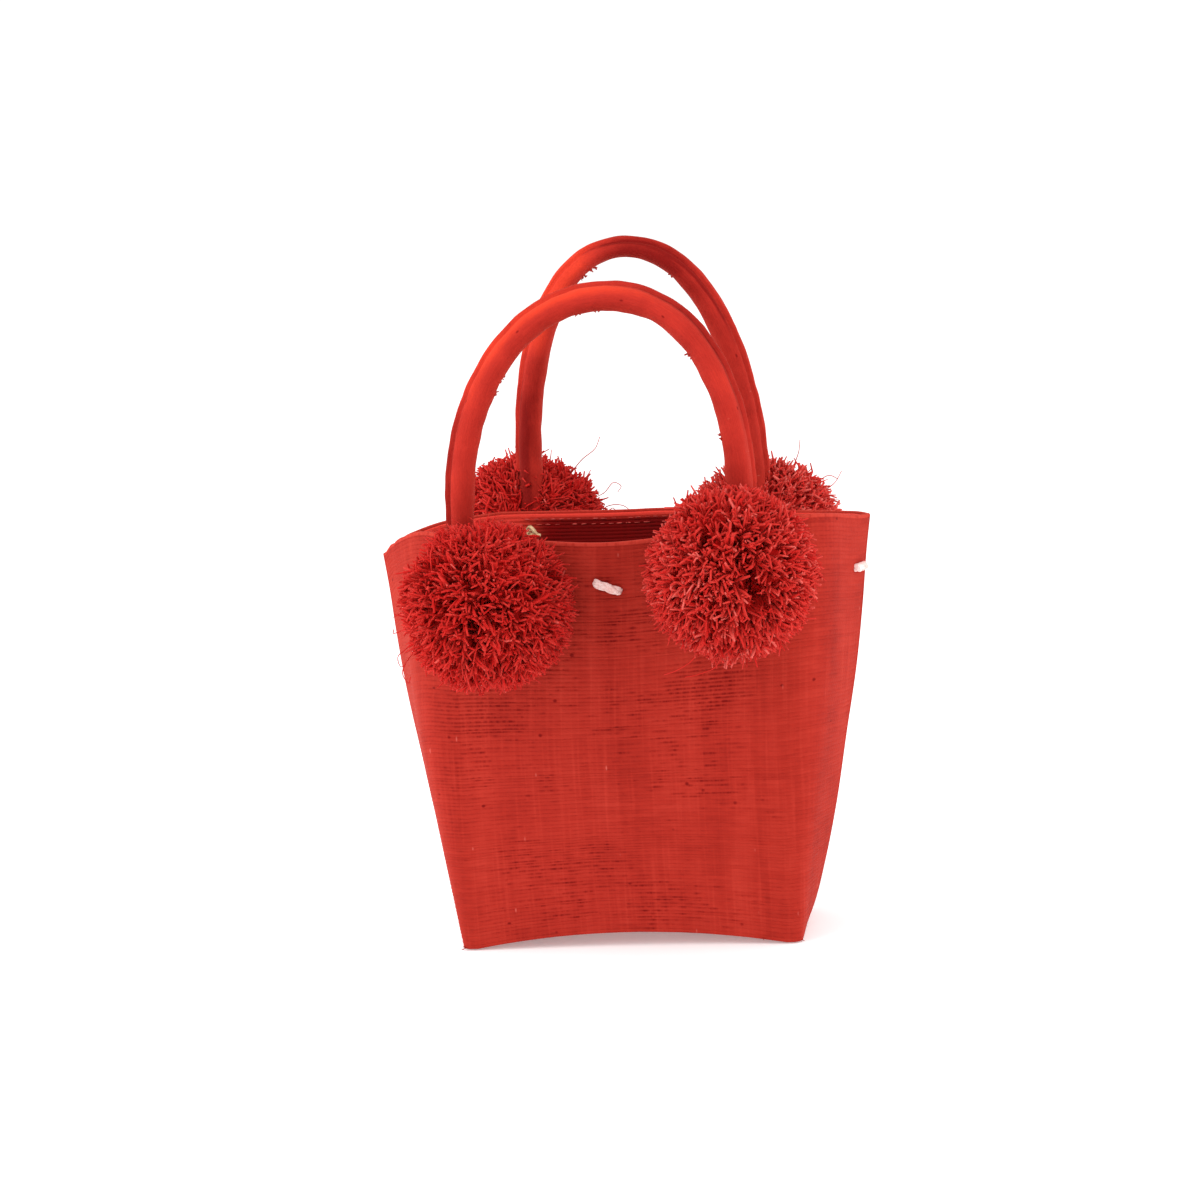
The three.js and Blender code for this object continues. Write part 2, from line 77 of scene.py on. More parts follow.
RIB_PITCH = 1.9
RIBS = 106
WARP_PITCH = 1.3
RIB_STEPS = np.array([0.0, 0.19, 0.35, 0.65, 0.81])
RIB_PROFILE = np.array([-1.0, 0.1, 0.85, 0.85, 0.1])


def smooth_between(at, places, values):
    """A smooth curve through a table's values."""
    values = np.asarray(values, float)
    slopes = np.gradient(values, places)
    low = np.clip(np.searchsorted(places, at) - 1, 0, len(places) - 2)
    step = places[low + 1] - places[low]
    t = (at - places[low]) / step
    return (
        (1 + 2 * t) * (1 - t) ** 2 * values[low]
        + t * (1 - t) ** 2 * step * slopes[low]
        + t * t * (3 - 2 * t) * values[low + 1]
        + t * t * (t - 1) * step * slopes[low + 1]
    )


def body_sizes(share):
    """Half sizes of the body's section at shares of its height."""
    share = np.clip(share, 0, 1)
    mix = {name: smooth_between(share, SECTION_HEIGHTS, row) for name, row in SECTION_SHARES.items()}
    return {
        "seam": (BASE_WIDTH + (MOUTH_WIDTH - BASE_WIDTH) * mix["seam"]) / 2,
        "corner": (BASE_WIDTH + (MOUTH_FACE_WIDTH - BASE_WIDTH) * mix["corner"]) / 2,
        "depth": (BASE_DEPTH + (MOUTH_DEPTH - BASE_DEPTH) * mix["depth"]) / 2,
        "bow": FACE_BOW * mix["bow"],
        "rounding": BASE_CORNER + (MOUTH_CORNER - BASE_CORNER) * mix["rounding"],
        "pinch": MOUTH_PINCH * np.maximum(0, mix["pinch"]),
    }


def arch_at(x):
    return BASE_ARCH * np.maximum(0, 1 - (x / (BASE_WIDTH / 2 - BASE_FOOT)) ** 2)


def rim_at(around, face):
    low = np.clip(np.searchsorted(RIM_AROUND, around) - 1, 0, len(RIM_AROUND) - 2)
    t = (around - RIM_AROUND[low]) / (RIM_AROUND[low + 1] - RIM_AROUND[low])
    t = t * t * (3 - 2 * t)
    return BODY_HEIGHT + RIM_WAVE * (RIM_RISE[face][low] * (1 - t) + RIM_RISE[face][low + 1] * t)


def face_depth(x, z):
    """How far the cloth stands from the middle plane, at x from the body's middle and a height."""
    sizes = body_sizes(z / BODY_HEIGHT)
    right = sizes["corner"] - sizes["rounding"]
    left = right - PINCH_REACH * sizes["pinch"]
    from_crown = (2 * x + left - right) / (left + right)
    return sizes["depth"] + sizes["bow"] * np.maximum(0, 1 - from_crown**2)


def bent(a, b, c, t):
    return (1 - t) ** 2 * a + 2 * t * (1 - t) * b + t * t * c


def half_rows(shares, columns, face):
    """Rows of points on half of the body, from the left seam round the face to the right seam.
    Returns the points and how far along the row each one is, from the middle of the face."""
    s = {name: value[:, None] for name, value in body_sizes(np.asarray(shares, float)).items()}
    seam_x, none, t = s["seam"], 0 * s["seam"], np.linspace(0, 1, 33)[None, :-1]
    flat = s["corner"] - s["rounding"]
    left_flat = flat - PINCH_REACH * s["pinch"]
    left_depth = s["depth"] * (1 - s["pinch"])

    def side_start(corner_depth):
        reach = s["rounding"] / np.hypot(s["corner"] - seam_x, corner_depth)
        return s["corner"] + (seam_x - s["corner"]) * reach, corner_depth * (1 - reach)

    (left_x, left_y), (right_x, right_y) = side_start(left_depth), side_start(s["depth"])
    crown_x, crown_y = (flat - left_flat) / 2, s["depth"] + 2 * s["bow"]
    stretches = [
        (-seam_x + (seam_x - left_x) * t, left_y * t, 0, 3),
        (bent(-left_x, -s["corner"], -left_flat, t), bent(left_y, left_depth, s["depth"], t), 3, 6),
        (bent(-left_flat, crown_x, flat, t), bent(s["depth"], crown_y, s["depth"], t), 6, 16),
        (bent(flat, s["corner"], right_x, t), bent(s["depth"], s["depth"], right_y, t), 16, 19),
        (right_x + (seam_x - right_x) * t, right_y * (1 - t), 19, 22),
    ]
    x = np.concatenate([part[0] for part in stretches] + [seam_x], axis=1)
    y = np.concatenate([part[1] for part in stretches] + [none], axis=1)
    around = np.concatenate([(a + (b - a) * t[0]) / 22 for _, _, a, b in stretches] + [[1.0]])
    length = np.cumsum(np.hypot(np.diff(x, axis=1), np.diff(y, axis=1)), axis=1)
    length = np.concatenate([none, length], axis=1)
    wanted = np.linspace(0, 1, columns)
    rows = []
    for i, share in enumerate(shares):
        at = wanted * length[i, -1]
        row_x = np.interp(at, length[i], x[i])
        row_y = np.interp(at, length[i], y[i])
        row_around = np.interp(at, length[i], around)
        bottom = arch_at(row_x) + LOWER_EDGE
        z = bottom + (rim_at(row_around, face) - bottom) * share
        rows.append(np.stack([row_x + SWAY * z / BODY_HEIGHT, face * row_y, z], axis=1))
    along = (wanted[None, :] - 0.5) * length[:, -1:]
    return np.array(rows) + BODY_MIDDLE, along


def outward(points, face):
    """Normals of a grid of points on a half of the body."""
    across = np.gradient(points, axis=1)
    up = np.gradient(points, axis=0)
    normals = np.cross(across, up) * -face
    return normals / np.linalg.norm(normals, axis=2, keepdims=True)


def cloud(random, down, across, cells_down, cells_across):
    """Smooth random values from -1 to 1, at places from 0 to 1 down and across."""
    grid = random.uniform(-1, 1, (cells_down + 2, cells_across + 2))
    v, u = down * cells_down, across * cells_across
    row, column = np.floor(v).astype(int), np.floor(u).astype(int)
    v, u = v - row, u - column
    v, u = v * v * (3 - 2 * v), u * u * (3 - 2 * u)
    low = grid[row, column] * (1 - u) + grid[row, column + 1] * u
    high = grid[row + 1, column] * (1 - u) + grid[row + 1, column + 1] * u
    return low * (1 - v) + high * v


def grid_faces(rows, columns, start=0, closed=False):
    """Quads of a grid of points. closed joins the last column to the first."""
    row = np.arange(rows - 1)[:, None]
    column = np.arange(columns if closed else columns - 1)[None, :]
    following = (column + 1) % columns
    corners = [row * columns + column, row * columns + following]
    corners += [(row + 1) * columns + following, (row + 1) * columns + column]
    return (np.stack(corners, axis=-1).reshape(-1, 4) + start).tolist()


def add_piece(name, points, faces, material, stands_for, weave=None, tone=None):
    """A new piece of the bag from points in millimetres. weave holds the warp count, the rib count
    and the depth of the gap at each point, painted as shade, or as light where it is below 0. tone is
    a value that the piece's own material reads, mostly painted light and shade."""
    mesh = bpy.data.meshes.new(name)
    mesh.from_pydata((np.asarray(points) * 0.001).tolist(), [], faces)
    mesh.polygons.foreach_set("use_smooth", [True] * len(mesh.polygons))
    if weave is not None:
        layer = mesh.attributes.new("weave", "FLOAT_VECTOR", "POINT")
        layer.data.foreach_set("vector", np.asarray(weave, np.float32).ravel())
    if tone is not None:
        layer = mesh.attributes.new("tone", "FLOAT", "POINT")
        layer.data.foreach_set("value", np.asarray(tone, np.float32).ravel())
    mesh.update()
    made = bpy.data.objects.new(name, mesh)
    bpy.context.scene.collection.objects.link(made)
    made.data.materials.append(material)
    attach(made, "root")
    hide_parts(*stands_for)
    return made


def srgb(red, green, blue):
    """A colour as a picture editor shows it, from 0 to 255, for a shader socket."""
    shares = [c / 255 for c in (red, green, blue)]
    return (*[c / 12.92 if c < 0.04045 else ((c + 0.055) / 1.055) ** 2.4 for c in shares], 1)


def node(tree, kind, inputs=None, **settings):
    """Adds a shader node. An input is a value or the socket that feeds it."""
    made = tree.nodes.new(kind)
    for name, value in settings.items():
        setattr(made, name, value)
    for name, value in (inputs or {}).items():
        if isinstance(value, bpy.types.NodeSocket):
            tree.links.new(value, made.inputs[name])
        else:
            made.inputs[name].default_value = value
    return made


def maths(tree, operation, a, b=0.0):
    return node(tree, "ShaderNodeMath", {0: a, 1: b}, operation=operation).outputs[0]


def times(tree, a, b):
    return maths(tree, "MULTIPLY", a, b)


def mixed(tree, *parts, onto=None):
    """The sum of values, each times its share, added to what is there already."""
    total = onto
    for value, share in parts:
        product = times(tree, value, share)
        total = product if total is None else maths(tree, "ADD", total, product)
    return total


def spread(tree, value, low, high, to_low=0.0, to_high=1.0):
    inputs = {"Value": value, "From Min": low, "From Max": high, "To Min": to_low, "To Max": to_high}
    return node(tree, "ShaderNodeMapRange", inputs).outputs["Result"]


def blended(tree, share, a, b, kind="MIX"):
    made = node(tree, "ShaderNodeMix", data_type="RGBA", blend_type=kind)
    for socket, value in ((made.inputs[0], share), (made.inputs[6], a), (made.inputs[7], b)):
        if isinstance(value, bpy.types.NodeSocket):
            tree.links.new(value, socket)
        else:
            socket.default_value = value
    return made.outputs[2]


def place(tree, x, y, z=0.0):
    return node(tree, "ShaderNodeCombineXYZ", {"X": x, "Y": y, "Z": z}).outputs[0]


def noise(tree, where, scale, detail=2.0, roughness=0.5):
    inputs = {"Vector": where, "Scale": scale, "Detail": detail, "Roughness": roughness}
    return node(tree, "ShaderNodeTexNoise", inputs).outputs["Fac"]


def new_group(name, ins, outs):
    group = bpy.data.node_groups.new(name, "ShaderNodeTree")
    for socket, kind in ins:
        group.interface.new_socket(socket, in_out="INPUT", socket_type=kind)
    for socket, kind in outs:
        group.interface.new_socket(socket, in_out="OUTPUT", socket_type=kind)
    return group, node(group, "NodeGroupInput"), node(group, "NodeGroupOutput")


def new_material(name, rough, sheen, sheen_tint, sheen_rough=0.45, specular=0.25):
    material = bpy.data.materials.new(name)
    material.use_nodes = True
    tree = material.node_tree
    surface = tree.nodes["Principled BSDF"]
    surface.inputs["Roughness"].default_value = rough
    surface.inputs["Specular IOR Level"].default_value = specular
    surface.inputs["Sheen Weight"].default_value = sheen
    surface.inputs["Sheen Roughness"].default_value = sheen_rough
    surface.inputs["Sheen Tint"].default_value = sheen_tint
    return material, tree, surface


def mesh_tone(tree):
    return node(tree, "ShaderNodeAttribute", attribute_name="tone").outputs["Fac"]


def own_place(tree):
    return node(tree, "ShaderNodeTexCoord").outputs["Object"]


def bumped(tree, surface, height, strength, distance):
    bump = node(tree, "ShaderNodeBump", {"Height": height, "Strength": strength, "Distance": distance})
    tree.links.new(bump.outputs["Normal"], surface.inputs["Normal"])


# The weave in fine: split fibres that run along each rib, warp threads that cross over and under,
# painted shade in the gaps, broken into dashes, painted light where a gap is below 0, pale slubs
# and the odd dark speck.
WEAVE_EFFECTS = ("Fibre", "Rib", "Painted gap light and shade", "Slub", "Speck", "Band", "Thread", "Height")
weave_group, weave_in, weave_out = new_group(
    "Raffia weave",
    [("Weave", "NodeSocketVector")],
    [(name, "NodeSocketFloat") for name in WEAVE_EFFECTS],
)
g = weave_group
warp, rib, gap = node(g, "ShaderNodeSeparateXYZ", {0: weave_in.outputs["Weave"]}).outputs


def woven(per_warp, per_rib, level=0.0):
    """A place on the cloth, for a noise that is longer along the weft than across it."""
    return place(g, times(g, warp, per_warp), times(g, rib, per_rib), level)


def spots(where, widest, narrowest, rare, rarest):
    """Spots of the given size in the few cells whose random value is high."""
    cells = node(g, "ShaderNodeTexVoronoi", {"Vector": where, "Scale": 1.0, "Randomness": 1.0})
    chance = node(g, "ShaderNodeSeparateXYZ", {0: cells.outputs["Color"]}).outputs[0]
    size = spread(g, cells.outputs["Distance"], widest, narrowest)
    return times(g, size, spread(g, chance, rare, rarest))


whole_rib = maths(g, "FLOOR", rib)
split = place(g, times(g, warp, 0.22), times(g, rib, 5.0), times(g, whole_rib, 3.7))
fibre = noise(g, split, 1.0, 3.0, 0.6)
each_rib = place(g, times(g, warp, 0.07), times(g, whole_rib, 2.9))
crossing = maths(g, "COSINE", times(g, maths(g, "ADD", warp, whole_rib), math.pi))
broken = noise(g, place(g, times(g, warp, 0.42), maths(g, "ROUND", rib), 7.0), 1.0, 3.0, 0.7)
effects = [
    fibre,
    noise(g, each_rib, 1.0),
    # Painted shade in the gaps between the ribs, broken into dashes; a gap below 0 paints light
    times(g, gap, spread(g, broken, 0.36, 0.6)),
    spots(woven(0.34, 0.16), 0.13, 0.04, 0.9, 0.94),
    spots(woven(0.17, 0.31, 5.0), 0.16, 0.06, 0.86, 0.9),
    noise(g, woven(0.085, 0.008), 1.0, 3.0, 0.6),
    spread(g, noise(g, woven(0.8, 0.035, 3.0), 1.0, 2.0, 0.6), 0.5, 0.72),
    mixed(g, (fibre, 0.8), (crossing, 0.12)),
]
for name, value in zip(WEAVE_EFFECTS, effects):
    g.links.new(value, weave_out.inputs[name])

# Dyed raffia: each fibre took the red differently, from deep red through orange red to pale pink.
DYE_SHADES = ("Deep", "Middle", "Bright", "Pale")
dye_group, dye_in, dye_out = new_group(
    "Dyed raffia",
    [(name, "NodeSocketColor") for name in DYE_SHADES]
    + [("Tone", "NodeSocketFloat"), ("Paleness", "NodeSocketFloat")],
    [("Color", "NodeSocketColor")],
)
g = dye_group
deep, middle, bright, pale, tone, paleness = list(dye_in.outputs)[:6]
lower = blended(g, spread(g, tone, 0.0, 0.5), deep, middle)
upper = blended(g, spread(g, tone, 0.5, 1.0), lower, bright)
g.links.new(blended(g, paleness, upper, pale), dye_out.inputs["Color"])


def fine_weave(tree):
    weave = node(tree, "ShaderNodeAttribute", attribute_name="weave").outputs["Vector"]
    return node(tree, "ShaderNodeGroup", {"Weave": weave}, node_tree=weave_group).outputs


def dyed(tree, shades, tone, paleness):
    dye = node(tree, "ShaderNodeGroup", {"Tone": tone, "Paleness": paleness}, node_tree=dye_group)
    for name, shade in zip(DYE_SHADES, shades):
        dye.inputs[name].default_value = srgb(*shade)
    return dye.outputs["Color"]


cloth_tint = srgb(255, 130, 110)
cloth_material, tree, surface = new_material("red raffia cloth", 0.88, 0.1, cloth_tint, specular=0.12)
fine = fine_weave(tree)
blotch = noise(tree, own_place(tree), 28.0, 4.0, 0.6)
tone = mixed(tree, (fine["Fibre"], 0.4), (fine["Rib"], 0.45), (fine["Band"], 0.8), (blotch, 0.35))
tone = spread(tree, tone, 0.42, 1.55)
# The gaps' painted shade darkens the cloth, and a gap below 0 paints it lighter
tone = mixed(tree, (fine["Thread"], 0.15), (fine["Painted gap light and shade"], -0.55), (fine["Speck"], -0.7), onto=tone)
cloth_shades = [(118, 9, 5), (163, 38, 27), (187, 56, 43), (214, 108, 96)]
outside = dyed(tree, cloth_shades, tone, times(tree, fine["Slub"], 0.55))
# Painted shade inside the mouth: where the mesh's tone is 1 the cloth colour is multiplied dark
painted_shade_inside = blended(tree, 1.0, outside, (0.44, 0.02, 0.02, 1), "MULTIPLY")
tree.links.new(blended(tree, mesh_tone(tree), outside, painted_shade_inside), surface.inputs["Base Color"])
tree.links.new(spread(tree, fine["Fibre"], 0.3, 0.7, 0.78, 0.92), surface.inputs["Roughness"])
bumped(tree, surface, fine["Height"], 0.5, 0.00035)


COLUMNS = 131
WIDEST_HALF = 300.0  # more than half of the way round the mouth
UNEVEN_RIBS = 0.22
FOLD, SMALL_FOLD, FLUTE = 1.3, 0.5, 0.35
VALLEY, OPEN_VALLEY, UNDERCUT, RIB_SWELL = 0.13, 0.12, 0.04, 0.09
WEAVE_SHIFT = 400.0  # so that the two halves' threads differ
PAINTED_LIGHT_GAP = -1.2  # a gap below 0 paints light
ROLL_TURNS, ROLL_RISE = np.radians([30, 60, 90, 120, 150]), 0.9
INNER_ROWS = 24
LIT_CORNER, PAINTED_SHADE_FADE = 40.0, 9.0  # from the left seam to where the painted shade inside begins, and over how far it fades in


def weave_at(warps, ribs, gaps):
    """The weave's three values over a grid, each from a grid, a row, a column or a number."""
    return np.stack(np.broadcast_arrays(warps, ribs, gaps), axis=-1)


def rib_rows(random):
    """Each row's share of the height, its rib count and its place on the rib's profile."""
    edges = np.cumsum(np.clip(1 + UNEVEN_RIBS * random.standard_normal(RIBS), 0.6, 1.5))
    edges = np.concatenate([[0], edges / edges[-1]])
    shares = (edges[:-1, None] + np.diff(edges)[:, None] * RIB_STEPS[None, :]).ravel()
    ribs = (np.arange(RIBS)[:, None] + RIB_STEPS[None, :]).ravel()
    return np.append(shares, 1.0), np.append(ribs, RIBS), np.append(np.tile(RIB_PROFILE, RIBS), 0.0)


def open_gaps(random, down, across, along, heights, ribs, open_places):
    """How far the gap under each rib is open, from 0 to 1, in runs along the rib."""
    rib_of = np.floor(ribs + 0.5).astype(int)[:, None]
    band = 0.3 * cloud(random, down, across, 3, 26) + 0.8 * cloud(random, down, across, 10, 15)
    for middle, height, half_width, half_height, strength in open_places:
        off = ((along - middle) / half_width) ** 4 + ((heights - height) / half_height) ** 4
        band = band + strength * np.exp(-off)
    per_rib = random.uniform(0, 1, (RIBS + 1, 80))
    u = across * 78
    cell = np.floor(u).astype(int)
    t = u - cell
    runs = per_rib[rib_of, cell] * (1 - t) + per_rib[rib_of, cell + 1] * t
    return np.clip((runs + 0.5 * band - 0.59) * 2.4, 0, 1)


def body_cloth(name, face, seed, open_places, stands_for):
    """open_places: where the gaps between the ribs are widest and their painted shade darkest, each with
    its distance along from the middle of the face, its height, its half width and half height, and
    its strength."""
    random = np.random.default_rng(seed)
    shares, ribs, profile = rib_rows(random)
    points, along = half_rows(shares, COLUMNS, face)
    normals = outward(points, face)
    down = np.repeat(shares[:, None], COLUMNS, axis=1) * 0.999
    across = np.clip((along / WIDEST_HALF) + 0.5, 0, 0.999)
    # Soft folds and hollows, which fade out towards the seams, base and mouth
    calm = np.sin(np.pi * down) ** 0.5 * np.sin(np.pi * np.linspace(0, 1, COLUMNS))[None, :] ** 0.5
    folds = FOLD * cloud(random, down, across, 2, 4) + SMALL_FOLD * cloud(random, down, across, 4, 11)
    flutes = FLUTE * cloud(random, down, across, 1, 22)
    points += normals * ((folds + flutes) * calm)[..., None]
    normals = outward(points, face)
    # Ribs: each is a little uneven along its length, and here and there the gap under it opens
    to_seam = np.minimum(along - along[:, :1], along[:, -1:] - along)
    opened = open_gaps(random, down, across, along, points[..., 2], ribs, open_places)
    opened = opened * np.clip((to_seam - 26) / 40, 0.25, 1)
    valley = (profile < 0)[:, None]
    near_valley = (np.abs(profile - 0.1) < 1e-6)[:, None]
    swell = RIB_SWELL * (1 + 0.5 * cloud(random, down, across, 40, 60))
    relief = np.where(valley, -VALLEY - OPEN_VALLEY * opened, profile[:, None] * swell)
    relief = np.where(near_valley, relief - UNDERCUT * opened, relief)
    edge = np.minimum(1, np.minimum(np.arange(COLUMNS), COLUMNS - 1 - np.arange(COLUMNS)) / 2)
    outer = points + normals * (relief * edge[None, :])[..., None]
    ribbed = 0.7 + 0.5 * cloud(random, down, across, 5, 9)
    ribbed = np.clip(ribbed, 0, 1) * np.clip((to_seam - 8) / 30, 0.2, 1)
    # Painted shade in the valleys between the ribs, deeper where a gap opens, and on the ribs' edges beside
    # it
    under_rib = np.where(near_valley, 0.85 * opened, 0.0)
    gap = np.where(valley, np.maximum(opened, 0.55 * ribbed), under_rib)
    # Painted shadow just under the fold
    gap[-11:-3] = np.maximum(gap[-11:-3], 0.3)
    # Painted highlight on the fold
    gap[-3:] = PAINTED_LIGHT_GAP
    # The fold at the mouth, and the plain inside
    top, top_out, up = points[-1], normals[-1], np.array([0.0, 0.0, 1.0])
    roll = [top - top_out * (1 - math.cos(a)) * CLOTH / 2 + up * math.sin(a) * ROLL_RISE for a in ROLL_TURNS]
    inner_rows = np.array([np.argmin(np.abs(shares - s)) for s in np.linspace(1, 0.0, INNER_ROWS)])
    inner = points[inner_rows] - normals[inner_rows] * CLOTH
    inner[..., 1] = face * np.maximum(face * (inner[..., 1] - BODY_MIDDLE[1]), 0.05) + BODY_MIDDLE[1]
    grid = np.concatenate([outer, np.array(roll), inner])
    warps = (along + WEAVE_SHIFT * face) / WARP_PITCH
    over_roll = RIBS + 0.3 * (np.arange(len(ROLL_TURNS)) + 1)[:, None]
    weave = [
        weave_at(warps, ribs[:, None], gap),
        # Painted highlight over the roll
        weave_at(warps[-1], over_roll, -1.4),
        weave_at(warps[inner_rows], ribs[inner_rows][:, None], 0.0),
    ]
    weave = np.concatenate(weave)
    if face > 0:
        grid, weave = grid[:, ::-1], weave[:, ::-1]
    faces = grid_faces(len(grid), COLUMNS)
    last = (len(grid) - 1) * COLUMNS
    faces += [[last + c, last + c + 1, c + 1, c] for c in range(COLUMNS - 1)]
    # The two seam edges, closed between the outside and the inside
    first_inner = len(outer) + len(roll)
    for column in (0, COLUMNS - 1):
        loops = []
        for i in range(len(inner_rows) - 1):
            rows = list(range(inner_rows[i + 1], inner_rows[i] + 1))
            if i == 0:
                rows += range(len(outer), first_inner)
            rows += [first_inner + i, first_inner + i + 1]
            loops.append([int(row) * COLUMNS + column for row in rows])
        faces += loops if column else [loop[::-1] for loop in loops]
    # Painted shade on the inside, fading out near the left seam, where the inside is lit
    inside = np.repeat([0.0, 1.0], [first_inner + 1, len(inner_rows) - 1])
    from_left = np.arange(COLUMNS) / (COLUMNS - 1) * (along[-1, -1] - along[-1, 0])
    tone = inside[:, None] * np.clip((from_left - LIT_CORNER) / PAINTED_SHADE_FADE, 0, 1)[None, :]
    tone = (tone[:, ::-1] if face > 0 else tone).ravel()
    points, weave = grid.reshape(-1, 3), weave.reshape(-1, 3)
    add_piece(name, points, faces, cloth_material, [stands_for], weave, tone)


# Under the front pompoms the gaps open, and their darkness also paints the pompoms' shadows
body_cloth("front_cloth", -1, 11, [(44, 132, 24, 10, 1.1), (-66, 121, 28, 9, 1.0)], "front_panel")
body_cloth("back_cloth", 1, 12, [(40, 128, 24, 9, 0.8)], "back_panel")


# Base
# A strip of the same cloth over a stiff board, sewn to the lower edge all round. It stands on its
# two ends and is lifted a little between them, and a few weft ends are frayed out at its corners.

SEAM_LAP = 0.6  # how far the base reaches into the seam with the cloth round it
BASE_STATIONS = 90
EDGE_TURNS = np.linspace(-np.pi / 2, np.pi / 2, 7)
FRAYS = [(9, -80.5, -25.5, 1.2), (5, 63.0, -27.0, 3.0), (4, 81.0, -25.0, 1.2), (4, -80.0, 26.0, 1.2)]
FRAY_WIDTH = 0.7


def closed_faces(rows, columns, start=0):
    """Faces of a closed form of rings of points, its two ends included."""
    faces = [face[::-1] for face in grid_faces(rows, columns, start, closed=True)]
    last = start + (rows - 1) * columns
    faces.append(list(range(start, start + columns)))
    faces.append(list(range(last, last + columns))[::-1])
    return faces


def unit(vectors):
    return vectors / (np.linalg.norm(vectors, axis=-1, keepdims=True) + 1e-9)


def strand_mesh(paths, widths, thickness, random, start=0):
    """Closed three-sided strands of raffia along paths, an array of strands, points and x, y, z."""
    count, steps = paths.shape[:2]
    ahead = unit(np.gradient(paths, axis=1))
    turned = random.normal(size=(count, 1, 3))
    twist = random.normal(size=(count, 1, 3)) * np.linspace(0, 1, steps)[None, :, None]
    flat = unit(np.cross(ahead, turned + 0.5 * twist))
    face = np.cross(ahead, flat)
    half, rise = widths[..., None] / 2, thickness[..., None] / 2
    ring = np.stack(
        [paths - flat * half - face * rise, paths + flat * half - face * rise, paths + face * rise * 1.4],
        axis=2,
    )
    points = ring.reshape(-1, 3)
    strand = np.arange(count)[:, None, None] * steps * 3
    step = np.arange(steps - 1)[None, :, None] * 3
    side = np.arange(3)[None, None, :]
    following = (side + 1) % 3
    base = strand + step
    quads = np.stack([base + side, base + following, base + 3 + following, base + 3 + side], axis=-1)
    ends = np.arange(count)[:, None] * steps * 3
    first = ends + np.array([[2, 1, 0]])
    last = ends + (steps - 1) * 3 + np.array([[0, 1, 2]])
    faces = (quads.reshape(-1, 4) + start).tolist() + (first + start).tolist() + (last + start).tolist()
    return points, faces


def frayed_ends(random, start):
    """FRAYS: how many ends there are at each corner, and the place of their roots."""
    roots = np.array([row[1:] for row in FRAYS for _ in range(row[0])])
    roots = roots + random.normal(scale=[0.9, 0.4, 0.3], size=roots.shape)
    count, steps = len(roots), np.linspace(0, 1, 6)[None, :, None]
    sideways = np.sign(roots[:, :1]) * random.uniform(0.4, 1.0, (count, 1))
    forwards = np.sign(roots[:, 1:2]) * random.uniform(0.3, 1, (count, 1))
    away = np.concatenate([sideways, forwards, random.uniform(-0.25, 0.1, (count, 1))], axis=1)
    reach = random.uniform(1.5, 4.5, (count, 1, 1))
    paths = roots[:, None, :] + away[:, None, :] * reach * steps
    paths = paths + random.normal(scale=0.25, size=(count, 1, 3)) * steps**2 * 2
    paths[..., 2] = np.maximum(paths[..., 2], 0.35)
    width = FRAY_WIDTH * (1 - 0.6 * steps[..., 0]) * np.ones((count, 1))
    return strand_mesh(paths, width, width * 0.4, random, start)


def base_cloth():
    half, corner, radius = BASE_WIDTH / 2 - CLOTH + SEAM_LAP, BASE_CORNER - CLOTH, CLOTH / 2
    ends = half - corner * (1 - np.cos(np.linspace(0, np.pi / 2, 7)))
    between = np.linspace(corner - half, half - corner, BASE_STATIONS)[1:-1]
    stations = np.sort(np.concatenate([-ends, between, ends]))
    inside = np.maximum(0, np.abs(stations) - (half - corner))
    side = face_depth(stations, 0 * stations) - CLOTH + SEAM_LAP  # bowed as the cloth round it is
    depth = side - corner + np.sqrt(np.maximum(0, corner**2 - inside**2))
    flats = np.linspace(-1, 1, 25)[1:-1]
    points, weave = [], []
    for x, reach in zip(stations, depth):
        edge = reach - radius
        loop = [(edge + radius * math.cos(a), radius + radius * math.sin(a)) for a in EDGE_TURNS]
        loop += [(-edge * f, CLOTH) for f in flats]
        loop += [(-edge - radius * math.cos(a), radius - radius * math.sin(a)) for a in EDGE_TURNS]
        loop += [(edge * f, 0.0) for f in flats]
        for y, z in loop:
            points.append([x, y, z + float(arch_at(x))])
            weave.append([x / WARP_PITCH, (y + 40) / RIB_PITCH + (0.5 if z > 1 else 0), 0.0])
    faces = closed_faces(len(stations), len(loop))
    fray, fray_faces = frayed_ends(np.random.default_rng(21), len(points))
    points = np.concatenate([np.array(points), fray]) + BODY_MIDDLE
    weave = np.concatenate([np.array(weave), np.tile([3.0, 7.5, 0.0], (len(fray), 1))])
    faces += fray_faces
    add_piece("base_cloth", points, faces, cloth_material, ["base_panel"], weave)


base_cloth()


# Hem
# The turned-in edge of the mouth, a second layer of the cloth that lies inside it, held by two
# rows of running stitches a few millimetres under the fold.

HEM_HEIGHT, HEM_THICKNESS, HEM_SETBACK = 15.0, 1.2, 0.8
HEM_RIBS, HEM_EASE = 8, 0.15
STITCH_ROWS = ((2.2, 3.2, 1.2), (4.5, 3.4, 1.2))  # below the fold, a stitch, a space
STITCHES_KEPT, NO_STITCHES = 0.88, 66.0  # none lie as near as this to the left seam


def lengths_along(line):
    return np.concatenate([[0], np.cumsum(np.linalg.norm(np.diff(line, axis=0), axis=1))])


def values_at(at, length, rows):
    """The three columns of rows, whose places are length, at new places."""
    return np.stack([np.interp(at, length, rows[:, k]) for k in range(3)], axis=-1)


